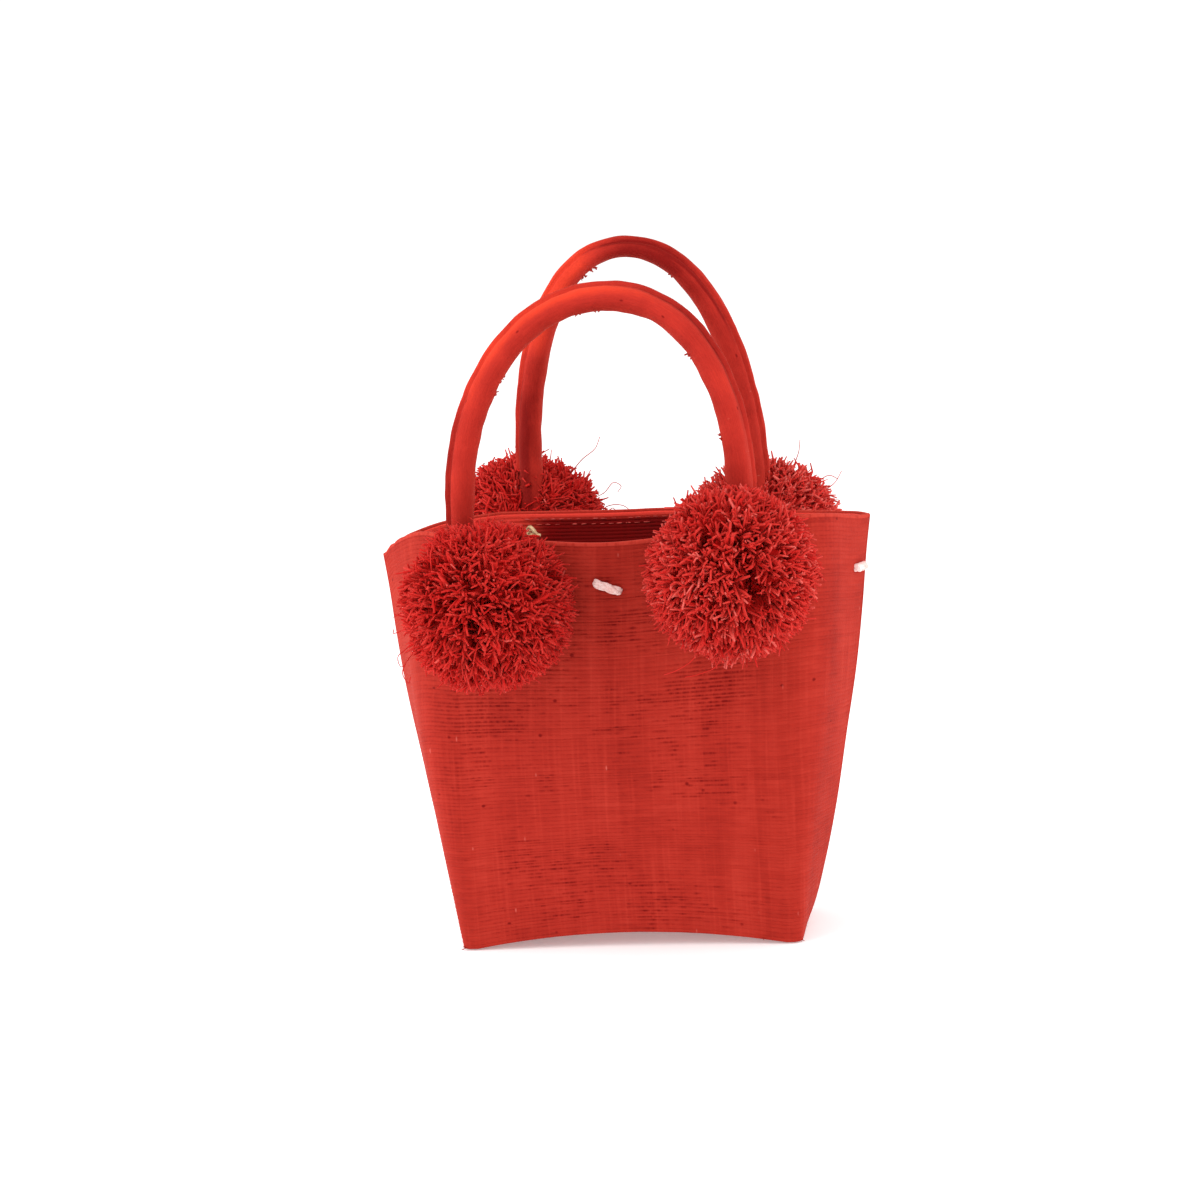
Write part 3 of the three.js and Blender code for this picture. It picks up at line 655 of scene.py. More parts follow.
def running_stitches(random, inner, out, steps):
    length = lengths_along(np.concatenate([inner[-1], inner[-1][:1]]))
    out = np.concatenate([out, out[:1]])
    t = np.linspace(0, 1, 5)
    stitches = []
    for drop, stitch, space in STITCH_ROWS:
        starts = np.arange(0, length[-1] - stitch, stitch + space)
        starts = starts[random.uniform(size=len(starts)) < STITCHES_KEPT]
        starts = starts[(starts > NO_STITCHES) & (starts < length[-1] - NO_STITCHES)]
        starts = starts + random.uniform(-0.3, 0.3, len(starts))
        row = np.interp(HEM_HEIGHT - drop, steps * HEM_HEIGHT / HEM_RIBS, np.arange(len(steps)))
        ring = np.concatenate([inner[int(row)], inner[int(row)][:1]])
        at = starts[:, None] + t[None, :] * stitch * random.uniform(0.8, 1.1, (len(starts), 1))
        lift = values_at(at, length, out) * (0.35 * np.sin(np.pi * t) - 0.15)[None, :, None]
        path = values_at(at, length, ring) - lift
        path[..., 2] += random.uniform(-0.15, 0.15, (len(starts), 1)) * (2 * t[None, :] - 1)
        stitches.append(path)
    return np.concatenate(stitches)


def joined(front, back):
    """Rows of the front half, from left to right, and on round the back half to the left again."""
    return np.concatenate([front[:, :-1], back[:, ::-1][:, :-1]], axis=1)


def mouth_hem():
    random = np.random.default_rng(31)
    steps = np.append((np.arange(HEM_RIBS)[:, None] + RIB_STEPS[None, :]).ravel(), HEM_RIBS)
    profile = np.append(np.tile(RIB_PROFILE, HEM_RIBS), 0.0)
    top = 1 - HEM_SETBACK / BODY_HEIGHT
    shares = top - HEM_HEIGHT / BODY_HEIGHT * (1 - steps / HEM_RIBS)
    halves = []
    for face in (-1, 1):
        points, along = half_rows(shares, COLUMNS, face)
        normals = outward(points, face)
        middle = np.sign(face) * (points[..., 1] - BODY_MIDDLE[1])
        near = np.clip(middle / 3, 0, 1)[..., None]
        normals = normals * near + np.stack([np.sign(along), 0 * along, 0 * along], axis=-1) * (1 - near)
        halves.append((points, normals, along))
    points = joined(halves[0][0], halves[1][0])
    normals = joined(halves[0][1], halves[1][1])
    along = joined(halves[0][2], WIDEST_HALF - halves[1][2])
    around = points.shape[1]
    down = np.repeat(steps[:, None] / (HEM_RIBS + 0.01), around, 1)
    across = np.tile(np.arange(around) / around, (len(steps), 1))
    wobble = cloud(random, down, across, 2, 40)
    opened = np.clip(cloud(random, down, across, 8, 90) * 2, 0, 1)
    valley = (profile < 0)[:, None]
    relief = np.where(valley, -0.15 - 0.15 * opened, 0.12 * profile[:, None]) + 0.15 * wobble
    outer = points - normals * (CLOTH + HEM_EASE)
    inner = points - normals * (CLOTH + GAP + HEM_THICKNESS - HEM_EASE + relief)[..., None]
    fold = np.array([0, 0, 0.45])
    edge = inner[-1] * 0.5 + outer[-1] * 0.5 + fold
    lower = inner[0] * 0.5 + outer[0] * 0.5 - fold
    back_rows = [len(steps) - 1, len(steps) // 2, 0]
    grid = np.concatenate([inner, edge[None], outer[back_rows], lower[None]])
    count = len(grid)
    faces = [f[::-1] for f in grid_faces(count, around, closed=True)]
    last = (count - 1) * around
    faces += [[last + c, c, (c + 1) % around, last + (c + 1) % around] for c in range(around)]
    ribs = np.concatenate([steps, [8.3, 8.6, 8.6, 8.6, 8.9]])[:, None]
    gap = np.concatenate([np.where(valley, opened, 0.0), np.zeros((5, around))])
    from_left = np.minimum(np.arange(around), around - np.arange(around)) / 130 * 150
    # Painted light on the hem towards the left corner, where the inside is lit
    gap += PAINTED_LIGHT_GAP * np.clip((52 - from_left) / 12, 0, 1)[None, :]
    weave = weave_at(along[0] / WARP_PITCH, ribs, gap).reshape(-1, 3)
    stitches = running_stitches(random, inner, normals[-1], steps)
    width = np.tile([0.2, 0.6, 0.7, 0.6, 0.2], (len(stitches), 1))
    width = width * random.uniform(0.35, 1.0, (len(stitches), 1))
    points, stitch_faces = strand_mesh(stitches, width, width * 0.9, random, count * around)
    weave = np.concatenate([weave, np.tile([1.0, 1.5, 0.0], (len(points), 1))])
    # Painted light at the fold and towards the left corner, painted shade further in, and 2 on the stitches
    from_fold = np.concatenate([(HEM_RIBS - steps) * HEM_HEIGHT / HEM_RIBS, [0, 0, 8, 14, 14]])[:, None]
    into_painted_shade = np.clip((from_left - LIT_CORNER) / PAINTED_SHADE_FADE, 0, 1)[None, :]
    shade = into_painted_shade * np.clip((from_fold - 1.2) / 1.6, 0, 1) * 2 - 1
    shade = np.where(shade > 0, shade, shade * 0.9)
    tone = np.concatenate([shade.ravel(), np.full(len(points), 2.0)])
    points = np.concatenate([grid.reshape(-1, 3), points])
    faces += stitch_faces
    add_piece("mouth_hem", points, faces, hem_material, ["rim_hem"], weave, tone)


hem_material = cloth_material.copy()
hem_material.name = "red raffia hem"
tree = hem_material.node_tree
surface = tree.nodes["Principled BSDF"]
# The hem's tone: below 0 it paints light, up to 1 painted shade through the cloth's colour, 2 the stitches
stitches_and_painted_light = mesh_tone(tree)
plain = surface.inputs["Base Color"].links[0].from_socket
# Painted light: towards a light orange red where the tone is below 0
plain = blended(tree, spread(tree, stitches_and_painted_light, 0.0, -1.0), plain, srgb(224, 62, 50))
threaded = blended(tree, spread(tree, stitches_and_painted_light, 1.0, 2.0), plain, srgb(198, 78, 70))
tree.links.new(threaded, surface.inputs["Base Color"])
mouth_hem()


# Handles
# A soft cord core wrapped in finer red cloth. The wrap's edges are sewn together along the outer
# side, where they stand out as a narrow lip beside a crease. The legs are sewn to the outside of
# the body, and a few ends of raffia have come loose along the inner side.

HANDLE_RADIUS = 6.1
HANDLE_SPREAD, HANDLE_RISE, HANDLE_SHOULDER, HANDLE_TAIL = 122.0, 122.0, 15.0, 38.0
HANDLE_NOD, ARCH_FULLNESS, LIP_WIDTH = 18.0, 2.15, 1.6
HANDLE_RINGS, HANDLE_RIB_PITCH = 250, 1.2
SOFT_RIDGES = ((48, 0.35, 17), (-75, 0.3, 20), (150, 0.2, 30))  # degrees round, height, half width
ENDS_IN_A_TUFT = 9
HANDLES = {
    "front": dict(face=-1, spread=1.065, centre=-0.009, rise=0.912, shoulder=1.2, nod=1.2, shift=0.005),
    "back": dict(face=1, spread=0.935, centre=0.023, rise=1.068, shoulder=0.8, nod=0.7, shift=-0.03),
}


def leg_x(row, side):
    return HANDLE_SPREAD * (row["centre"] + side * row["spread"] / 2)


def handle_line(row, rings):
    """Evenly spaced points along the middle of a handle, from its left end to its right end."""
    face = row["face"]

    def leg(side, z):
        x = leg_x(row, side)
        depth = float(face_depth(np.array(x), np.array(min(z, BODY_HEIGHT)))) + HANDLE_RADIUS + GAP
        return [x + SWAY * z / BODY_HEIGHT, face * depth, z]

    def fuller(value):
        return math.copysign(abs(value) ** (2 / ARCH_FULLNESS), value)

    drops = [BODY_HEIGHT - HANDLE_TAIL, BODY_HEIGHT - HANDLE_TAIL / 2, BODY_HEIGHT]
    shoulder = HANDLE_SHOULDER * row["shoulder"]
    points = [leg(-1, z) for z in drops]
    for i in range(15):
        angle = math.pi * (1 - i / 14)
        rise = fuller(max(0.0, math.sin(angle)))
        z = BODY_HEIGHT + shoulder + (HANDLE_RISE * row["rise"] - shoulder) * rise
        x = HANDLE_SPREAD * (row["centre"] + row["shift"] * rise)
        x += HANDLE_SPREAD * row["spread"] * fuller(math.cos(angle)) / 2
        y = leg(1, BODY_HEIGHT)[1] - face * HANDLE_NOD * row["nod"] * rise**2
        points.append([x + SWAY * z / BODY_HEIGHT, y, z])
    points += [leg(1, z) for z in drops[::-1]]
    points = np.array(points)
    points = np.concatenate([[2 * points[0] - points[1]], points, [2 * points[-1] - points[-2]]])
    dense = []
    for a, b, c, d in zip(points, points[1:], points[2:], points[3:]):
        steps = [max(1e-6, np.linalg.norm(q - p)) ** 0.5 for p, q in ((a, b), (b, c), (c, d))]
        t1 = ((b - a) / steps[0] - (c - a) / (steps[0] + steps[1]) + (c - b) / steps[1]) * steps[1]
        t2 = ((c - b) / steps[1] - (d - b) / (steps[1] + steps[2]) + (d - c) / steps[2]) * steps[1]
        for t in np.linspace(0, 1, 24, endpoint=False):
            dense.append(b + t1 * t + (3 * (c - b) - 2 * t1 - t2) * t**2 + (2 * (b - c) + t1 + t2) * t**3)
    dense.append(points[-2])
    dense = np.array(dense)
    length = lengths_along(dense)
    at = np.linspace(0, length[-1], rings)
    return values_at(at, length, dense) + BODY_MIDDLE, at


handle_tint = srgb(255, 130, 100)
handle_material, tree, surface = new_material("red handle cloth", 0.85, 0.2, handle_tint, 0.5, 0.15)
fine = fine_weave(tree)
blotch = noise(tree, own_place(tree), 60.0, 4.0, 0.6)
tone = mixed(tree, (fine["Fibre"], 0.5), (blotch, 0.45), (fine["Band"], 0.25))
tone = spread(tree, tone, 0.3, 0.9, 0.15, 0.75)
# Painted highlights and shade from the mesh's tone, and painted shade in the groove from the gap
tone = maths(tree, "ADD", tone, mesh_tone(tree))
tone = mixed(tree, (fine["Speck"], -0.5), (fine["Painted gap light and shade"], -0.5), onto=tone)
handle_shades = [(128, 9, 5), (182, 41, 30), (224, 60, 36), (242, 130, 108)]
handle_red = dyed(tree, handle_shades, tone, times(tree, fine["Slub"], 0.4))
tree.links.new(handle_red, surface.inputs["Base Color"])
bumped(tree, surface, fine["Height"], 0.6, 0.0005)


def loose_ends(random, tufts, line, ahead, outer, behind, foot_at, start):
    roots, away = [], []
    for tuft in tufts:
        i = int(tuft * (len(line) - 1))
        for _ in range(ENDS_IN_A_TUFT):
            angle = math.radians(172 + random.uniform(-45, 45))
            out = math.cos(angle) * outer[i] - math.sin(angle) * behind[i]
            roots.append(line[i] + out * foot_at[i] + ahead[i] * random.uniform(-1.6, 1.6))
            away.append(out + ahead[i] * random.uniform(-0.9, 0.9))
    roots, away = np.array(roots), np.array(away)
    t = np.linspace(0, 1, 6)[None, :, None]
    reach = random.uniform(0.6, 1.5, (len(roots), 1, 1))
    paths = roots[:, None, :] + away[:, None, :] * reach * t
    paths = paths + random.normal(scale=0.4, size=(len(roots), 1, 3)) * t**2
    width = random.uniform(0.7, 1.3, (len(roots), 1)) * (1 - 0.3 * t[..., 0])
    return strand_mesh(paths, width, width * 0.45, random, start)


def handle(name, row, seed, lip_turns, tufts, shades, thinner, stands_for):
    """lip_turns: the lip's place along the handle, in degrees from the outer side to the front.
    tufts: where raffia ends have come loose, as shares of the length. shades: painted highlights and
    painted shade in patches, each with its middle and half length as shares, its angle and half width
    in degrees, and its strength. thinner: what the inner side loses at the top."""
    random = np.random.default_rng(seed)
    line, at = handle_line(row, HANDLE_RINGS)
    share = (at / at[-1])[:, None]
    ahead = np.gradient(line, axis=0)
    ahead /= np.linalg.norm(ahead, axis=1, keepdims=True)
    behind = np.array([0.0, 1.0, 0.0]) - ahead * ahead[:, 1:2]
    behind /= np.linalg.norm(behind, axis=1, keepdims=True)
    outer = np.cross(ahead, behind)
    lip = np.interp(share, np.linspace(0, 1, len(lip_turns)), lip_turns)
    # Angles round the section, close together at the lip
    spacing = np.concatenate([np.linspace(-34, 34, 21), np.linspace(34, 326, 32)[1:-1]])
    turn = np.radians(spacing)[None, :] + np.radians(lip)
    off = np.radians(np.where(spacing > 180, spacing - 360, spacing))[None, :]
    down = np.repeat(share, len(spacing), axis=1) * 0.999
    across = np.tile((spacing % 360 / 360)[None, :], (HANDLE_RINGS, 1)) * 0.999
    radius = np.full(down.shape, HANDLE_RADIUS - 0.1)
    radius += LIP_WIDTH * np.clip(1.25 - (off / math.radians(11)) ** 4, 0, 1)
    groove = np.exp(-(((np.abs(off) - math.radians(20)) / math.radians(5)) ** 2))
    radius -= 0.5 * groove * (1 + 0.3 * cloud(random, down, np.full_like(down, 0.5), 40, 1))
    # The front is pressed a little flat and meets the top in a soft ridge
    for place_of, height, wide in SOFT_RIDGES:
        gap_to = (np.degrees(turn) - place_of + 180) % 360 - 180
        radius += height * np.exp(-((gap_to / wide) ** 2))
    radius += 0.2 * cloud(random, down, across, 34, 4) + 0.13 * cloud(random, down, across, 80, 10)
    radius += 0.22 * cloud(random, down, 0 * across, 52, 1)
    inner_side = np.clip(np.cos(turn - np.pi), 0, 1) ** 1.5
    radius -= thinner * inner_side * np.exp(-(((share - 0.5) / 0.11) ** 2))
    # Painted highlights and painted shade, in patches round and along the handle
    tone = np.zeros(down.shape)
    for middle, length, place_of, wide, strength in shades:
        gap_to = (np.degrees(turn) - place_of + 180) % 360 - 180
        tone += strength * np.exp(-((gap_to / wide) ** 4) - ((share - middle) / length) ** 4)
    # Pulled in round its stitches at the ends, which are closed
    end = np.minimum(at, at[-1] - at)[:, None]
    radius *= np.where(end < 4, np.sqrt(np.clip(1 - ((4 - end) / 4.2) ** 2, 0.02, 1)), 1)
    flat = np.cos(turn)[..., None] * outer[:, None, :] - np.sin(turn)[..., None] * behind[:, None, :]
    grid = (line[:, None, :] + flat * radius[..., None]).reshape(-1, 3)
    faces = closed_faces(HANDLE_RINGS, len(spacing))
    ribs = np.radians(spacing % 360)[None, :] * 6 / HANDLE_RIB_PITCH
    # The groove beside the lip gets painted shade through the weave's gap
    weave = weave_at(at[:, None] / WARP_PITCH, ribs, 0.6 * groove).reshape(-1, 3)
    foot_at = [np.interp(180, spacing, ring) - 0.5 for ring in radius]
    fray, fray_faces = loose_ends(random, tufts, line, ahead, outer, behind, foot_at, len(grid))
    points = np.concatenate([grid, fray])
    weave = np.concatenate([weave, np.tile([2.0, 4.4, 0.0], (len(fray), 1))])
    tone = np.concatenate([tone.ravel(), np.zeros(len(fray))])
    faces += fray_faces
    made = add_piece(name, points, faces, handle_material, [stands_for], weave, tone)


front_lip, front_tufts = [24, 24, 10, -4, 0, -22, -30], [0.337, 0.313, 0.472, 0.5, 0.655, 0.775]
# Painted highlights (above 0) and painted shade (below 0) on the front handle
front_painted_light_and_shade = [
    (0.43, 0.14, 42, 32, 0.4),
    (0.45, 0.1, 36, 18, 0.2),
    (0.5, 0.3, 130, 28, -0.12),
    (0.64, 0.11, 24, 9, -0.55),
    (0.64, 0.11, -4, 18, -0.25),
    (0.12, 0.15, 20, 16, -0.4),
    (0.12, 0.15, 44, 7, -0.3),
    (0.1, 0.1, 120, 40, -0.15),
    (0.9, 0.12, 110, 50, -0.2),
]
back_lip, back_tufts = [-10, 0, 20, 28, 18, 5, 0], [0.435, 0.455, 0.575]
# Painted highlights (above 0) and painted shade (below 0) on the back handle
back_painted_light_and_shade = [
    (0.4, 0.1, 60, 60, 0.42),
    (0.57, 0.1, 50, 9, -0.7),
    (0.52, 0.06, 60, 70, -0.3),
    (0.55, 0.1, 115, 50, -0.3),
    (0.72, 0.1, 80, 50, -0.1),
    (0.12, 0.11, 68, 30, -0.5),
    (0.06, 0.07, 105, 40, -0.35),
    (0.25, 0.07, 92, 44, -0.28),
    (0.14, 0.16, 40, 7, -0.4),
]
front, back = HANDLES["front"], HANDLES["back"]
handle("front_handle_wrap", front, 41, front_lip, front_tufts, front_painted_light_and_shade, 0.0, "handle_front")
handle("back_handle_wrap", back, 42, back_lip, back_tufts, back_painted_light_and_shade, 2.4, "handle_back")


# Pompoms
# Bundles of cut raffia strands, tied in the middle and fluffed out into a ball over the end of each
# handle leg. They lie flat against the cloth behind and part round the handle.

POMPOM_RADIUS = 41.5
POMPOM_DROP, POMPOM_STANDOFF = 16.0, 24.0
STRANDS = {"front": 5800, "back": 4600}
STRAND_STEPS = np.array([0.0, 0.3, 0.58, 0.81, 1.0])
LOCKS, HOLLOWS = 620, 16
STRAY_STEPS, STRAY_WIDTH = 18, 0.6
MAT_ROWS, MAT_COLUMNS = 34, 60
CLEAR_OF_HANDLE, SOFT_PRESS = 0.9, 6.0

strand_tint = srgb(255, 130, 120)
strand_material, tree, surface = new_material("red raffia strands", 0.8, 0.15, strand_tint, 0.4, 0.1)
shade = mesh_tone(tree)
mottle = noise(tree, own_place(tree), 900.0, 2.0, 0.6)
tone = mixed(tree, (maths(tree, "SUBTRACT", mottle, 0.5), 0.35), onto=shade)
strand_shades = [(176, 4, 3), (198, 32, 27), (208, 56, 48), (236, 116, 106)]
strand_red = dyed(tree, strand_shades, tone, spread(tree, shade, 0.95, 1.15, 0.0, 0.55))
in_shade = spread(tree, shade, -0.7, 0.0, 0.36, 1.0)
tree.links.new(blended(tree, 1.0, strand_red, in_shade, "MULTIPLY"), surface.inputs["Base Color"])
bumped(tree, surface, mottle, 0.3, 0.0002)


def keep_clear(points, face, line):
    """Presses points in front of the cloth, and out of the handle that runs along a line."""
    own = points - BODY_MIDDLE
    x = own[..., 0] - SWAY * own[..., 2] / BODY_HEIGHT
    depth = face_depth(np.clip(x, -80, 80), np.clip(own[..., 2], 0, BODY_HEIGHT))
    off = face * own[..., 1] - depth
    soft = SOFT_PRESS * np.exp((np.minimum(off, SOFT_PRESS) - SOFT_PRESS) / 11.0)
    off = np.where(off < SOFT_PRESS, soft, off)
    pressed = points.copy()
    pressed[..., 1] = BODY_MIDDLE[1] + face * (depth + np.maximum(off, 0.5))
    flat = pressed.reshape(-1, 3)
    for i in range(0, len(flat), 20000):
        part = flat[i : i + 20000]
        gap = part[:, None, :] - line[None, :, :]
        distance = np.linalg.norm(gap, axis=2)
        nearest = np.argmin(distance, axis=1)
        away = gap[np.arange(len(part)), nearest]
        far = distance[np.arange(len(part)), nearest]
        clear = HANDLE_RADIUS + CLEAR_OF_HANDLE
        away[:, 1] += face * 1e-3
        inside = far < clear
        # Sideways or forwards, never into the cloth
        away[:, 1] = np.where(face * away[:, 1] < 0, away[:, 1] * 0.2, away[:, 1])
        part[inside] = line[nearest[inside]] + unit(away[inside]) * clear
        flat[i : i + 20000] = part
    return flat.reshape(points.shape)


def nearness(directions, aim, wide):
    """1 for the direction aim itself, down to 0 at wide radians from it."""
    least = math.cos(wide)
    return np.clip((directions @ unit(np.array(aim, float)) - least) / (1 - least), 0, 1)


def smooth_line(points, count):
    points = np.array(points, float)
    at, places = np.linspace(0, 1, count), np.linspace(0, 1, len(points))
    return np.stack([smooth_between(at, places, points[:, k]) for k in range(3)], axis=1)


def pompom(name, handle_name, side, across, rise, seed, paler, parting, fuller, stray, stands_for):
    """across and rise: shares of the diameter from the foot of the handle leg. parting: directions
    in which the strands fall apart and show the middle, which is painted in shade, and fuller:
    directions in which they are longer, each with its half width in radians and its strength. stray:
    long loose fibres, each a list of points from the pompom's middle."""
    random = np.random.default_rng(seed)
    row = HANDLES[handle_name]
    face = row["face"]
    x = leg_x(row, side) + 2 * POMPOM_RADIUS * across
    z = BODY_HEIGHT - POMPOM_DROP + 2 * POMPOM_RADIUS * rise
    depth = float(face_depth(np.array(x), np.array(min(z, BODY_HEIGHT))))
    centre = np.array([x + SWAY * z / BODY_HEIGHT, face * (depth + POMPOM_STANDOFF), z]) + BODY_MIDDLE
    line, _ = handle_line(row, 160)
    line = line[:40] if side < 0 else line[-40:]
    count = STRANDS[handle_name]
    turns = np.arange(count) * math.pi * (3 - math.sqrt(5))
    level = 1 - 2 * (np.arange(count) + 0.5) / count
    ring = np.sqrt(1 - level**2)
    out = np.stack([ring * np.cos(turns), ring * np.sin(turns), level], axis=1)
    out = unit(out + random.normal(scale=0.06, size=out.shape))
    # Locks: strands lean towards their neighbours
    locks = unit(random.normal(size=(LOCKS, 3)))
    nearest = np.argmax(out @ locks.T, axis=1)
    towards = locks[nearest]
    lean = random.uniform(0.3, 1.2, (count, 1))
    curl = unit(np.cross(out, random.normal(size=(count, 3)))) * random.uniform(0.0, 0.12, (count, 1))
    hook = unit(np.cross(out, random.normal(size=(count, 3)))) * random.uniform(0.02, 0.21, (count, 1))
    reach = POMPOM_RADIUS * (0.995 - 0.12 * random.uniform(0, 1, count) ** 1.3)
    lock_reach = 1 - 0.07 * random.uniform(0, 1, len(locks)) ** 2
    reach = reach * lock_reach[nearest]
    # A few finer fibres stand out all round
    longer = random.uniform(size=count) < 0.035
    reach = np.where(longer, POMPOM_RADIUS * random.uniform(0.98, 1.06, count), reach)
    curl = curl * np.where(longer, 2.5, 1.0)[:, None]
    for aim, wide, more in fuller:
        near = nearness(out, aim, wide)
        reach = reach * (1 + more * near**0.7)
    aims = unit(random.normal(size=(HOLLOWS, 3)))
    hollows = [(aim, random.uniform(0.12, 0.2), random.uniform(0.1, 0.24)) for aim in aims]
    shaded = np.zeros(count)
    for aim, wide, deep in parting + hollows:
        near = nearness(out, aim, wide)
        reach = reach * (1 - deep * near**0.7)
        shaded = np.maximum(shaded, near**0.7 * deep * 2)
        aside = unit(out - unit(np.array(aim, float))[None, :] * 0.9)
        curl = curl + aside * (0.9 * deep * near)[:, None]
    steps = STRAND_STEPS[None, :]
    s = steps[..., None]
    way = out[:, None, :] + (towards - out)[:, None, :] * lean[:, None, :] * s * 0.6
    way = unit(way + curl[:, None, :] * s + hook[:, None, :] * s**2.5)
    start = POMPOM_RADIUS * 0.58
    distance = start + (reach[:, None, None] - start) * s
    paths = centre + way * distance
    paths += random.normal(scale=0.55, size=paths.shape) * s * (1 - s**8)
    paths[..., 2] -= 1.2 * steps**2
    paths = keep_clear(paths, face, line)
    width = random.uniform(0.9, 1.85, (count, 1)) * np.array([0.8, 0.95, 1.0, 0.95, 0.6])[None, :]
    width[longer] *= 0.4
    thickness = random.uniform(0.6, 0.9, (count, 1)) * np.array([1, 1, 1, 1, 0.7])[None, :]
    points, faces = strand_mesh(paths, width, thickness, random)
    tone = random.normal(0.55 + paler, 0.15, (count, 1))
    tone = tone + 0.09 * random.normal(size=(LOCKS, 1))[nearest]
    # Painted shade towards the roots and where strands part or dip; a little lighter at the tips
    tone = tone * (0.68 + 0.32 * steps**2) + 0.1 * steps**4 - shaded[:, None]
    tone = np.repeat(tone[..., None], 3, axis=2).ravel()
    # Loose fibres
    for fibre in stray:
        width = STRAY_WIDTH * np.linspace(1, 0.7, STRAY_STEPS)[None]
        path = (smooth_line(fibre, STRAY_STEPS) + centre)[None]
        more, more_faces = strand_mesh(path, width, width * 0.6, random, len(points))
        points = np.concatenate([points, more])
        faces += more_faces
        tone = np.concatenate([tone, np.full(len(more), 0.6)])
    # The matted strands under the tips, with painted shade where they show in the partings
    turns = np.linspace(0, 2 * np.pi, MAT_COLUMNS + 1)[:-1]
    levels = np.linspace(0.02, np.pi - 0.02, MAT_ROWS)[:, None]
    rings = np.sin(levels)
    ball = np.stack([rings * np.cos(turns), rings * np.sin(turns), np.cos(levels) + 0 * turns], axis=-1)
    swell = 0.72 + 0.045 * random.uniform(-1, 1, ball.shape[:2])
    mats = random.uniform(0, 0.4, ball.shape[:2])
    for aim, wide, deep in parting:
        near = nearness(ball, aim, wide)
        swell = swell * (1 - 1.9 * deep * near**0.5)
        mats = mats - near
    middle = keep_clear(centre + ball * (POMPOM_RADIUS * swell)[..., None], face, line)
    faces += closed_faces(MAT_ROWS, MAT_COLUMNS, len(points))
    points = np.concatenate([points, middle.reshape(-1, 3)])
    tone = np.concatenate([tone, mats.ravel()])
    add_piece(name, points, faces, strand_material, [stands_for], tone=tone)


parting = [
    ((-0.0, -0.82, 0.57), 0.13, 0.26),
    ((0.59, -0.7, 0.41), 0.13, 0.26),
    ((0.81, -0.54, 0.24), 0.12, 0.24),
    ((0.16, -0.97, 0.2), 0.13, 0.28),
    ((0.43, -0.9, 0.05), 0.14, 0.28),
    ((-0.32, -0.92, 0.21), 0.12, 0.22),
    ((-0.41, -0.9, -0.12), 0.14, 0.28),
    ((-0.03, -0.99, -0.14), 0.14, 0.28),
    ((0.05, -0.91, -0.41), 0.17, 0.36),
    ((0.69, -0.6, -0.41), 0.12, 0.24),
]
fuller = [
    ((-0.6, -0.4, 0.65), 0.6, 0.08),
    ((0.65, -0.45, 0.6), 0.55, -0.12),
    ((0.3, -0.4, -0.85), 0.6, -0.05),
]
stray = [
    [(-36, 4, -14), (-41, 2, -19), (-44.5, 0, -22), (-44, 1, -27), (-41.5, 1, -26)],
    [(-38, 3, -9), (-44, 2, -11), (-46.5, 3, -11.5), (-46, 3, -9.5)],
    [(-37, 4, -20), (-42, 2, -26), (-43.5, 2, -31), (-41, 1, -35), (-39.5, 1, -32)],
]
name, stands_for = "front_left_pompom", "pompom_front_left"
pompom(name, "front", -1, 0.165, -0.085, 51, 0.0, parting, fuller, stray, stands_for)

parting = [
    ((0.28, -0.91, 0.3), 0.15, 0.32),
    ((0.4, -0.91, 0.03), 0.22, 0.45),
    ((0.46, -0.86, -0.24), 0.17, 0.42),
    ((-0.23, -0.51, 0.83), 0.1, 0.22),
    ((0.0, -0.65, 0.76), 0.12, 0.26),
    ((0.12, -0.75, 0.65), 0.12, 0.28),
    ((0.62, -0.46, 0.64), 0.13, 0.3),
    ((0.49, -0.7, 0.53), 0.12, 0.28),
    ((-0.23, -0.76, 0.61), 0.12, 0.26),
    ((0.8, -0.59, 0.09), 0.1, 0.22),
    ((-0.45, -0.87, -0.22), 0.13, 0.26),
]
fuller = [((-0.75, -0.4, 0.5), 0.6, -0.09), ((0.85, -0.4, 0.2), 0.6, -0.04)]
stray = [
    [(-16, -10, -34), (-20, -8, -39), (-27, -7, -43), (-33, -6, -45)],
    [(-6, -12, -37), (-9, -9, -42), (-17, -8, -45), (-23, -8, -46)],
]
name, stands_for = "front_right_pompom", "pompom_front_right"
pompom(name, "front", 1, -0.045, 0.04, 52, 0.19, parting, fuller, stray, stands_for)

parting = [((0.2, 1, 0.2), 0.3, 0.3)]
fuller = [((0.9, -0.2, -0.1), 0.6, 0.04), ((0.45, -0.1, 0.85), 0.5, -0.1)]
stray = [
    [(24, 0, 26), (31, -2, 33), (38, -2, 38), (41, -2, 44)],
    [(34, 0, 12), (41, -2, 15), (46, -2, 20), (50, -2, 18), (48, -2, 15)],
    [(36, 0, 2), (42, -2, 8), (50, -2, 8), (54, -2, 4), (52, -2, 0)],
    [(36, 0, 5), (41, -2, 5), (45, -2, 7), (46, -2, 4), (43, -2, 2), (44, -2, -1)],
]
name, stands_for = "back_left_pompom", "pompom_back_left"
pompom(name, "back", -1, -0.07, 0.1, 53, 0.05, parting, fuller, stray, stands_for)

parting = [((0.1, 1, -0.2), 0.3, 0.3)]
fuller = [((-0.85, -0.1, 0.5), 0.7, 0.06)]
stray = [
    [(16, 0, 34), (19, 0, 41), (20, 0, 47)],
    [(26, 0, 24), (33, 0, 28), (38, 0, 26)],
    [(30, 0, 20), (36, 0, 24), (40, 0, 30)],
]
name, stands_for = "back_right_pompom", "pompom_back_right"
pompom(name, "back", 1, 0.04, -0.03, 54, 0.38, parting, fuller, stray, stands_for)


# White tacks
# Short bars of soft white twisted cord, sewn through the cloth in the middle of each side.

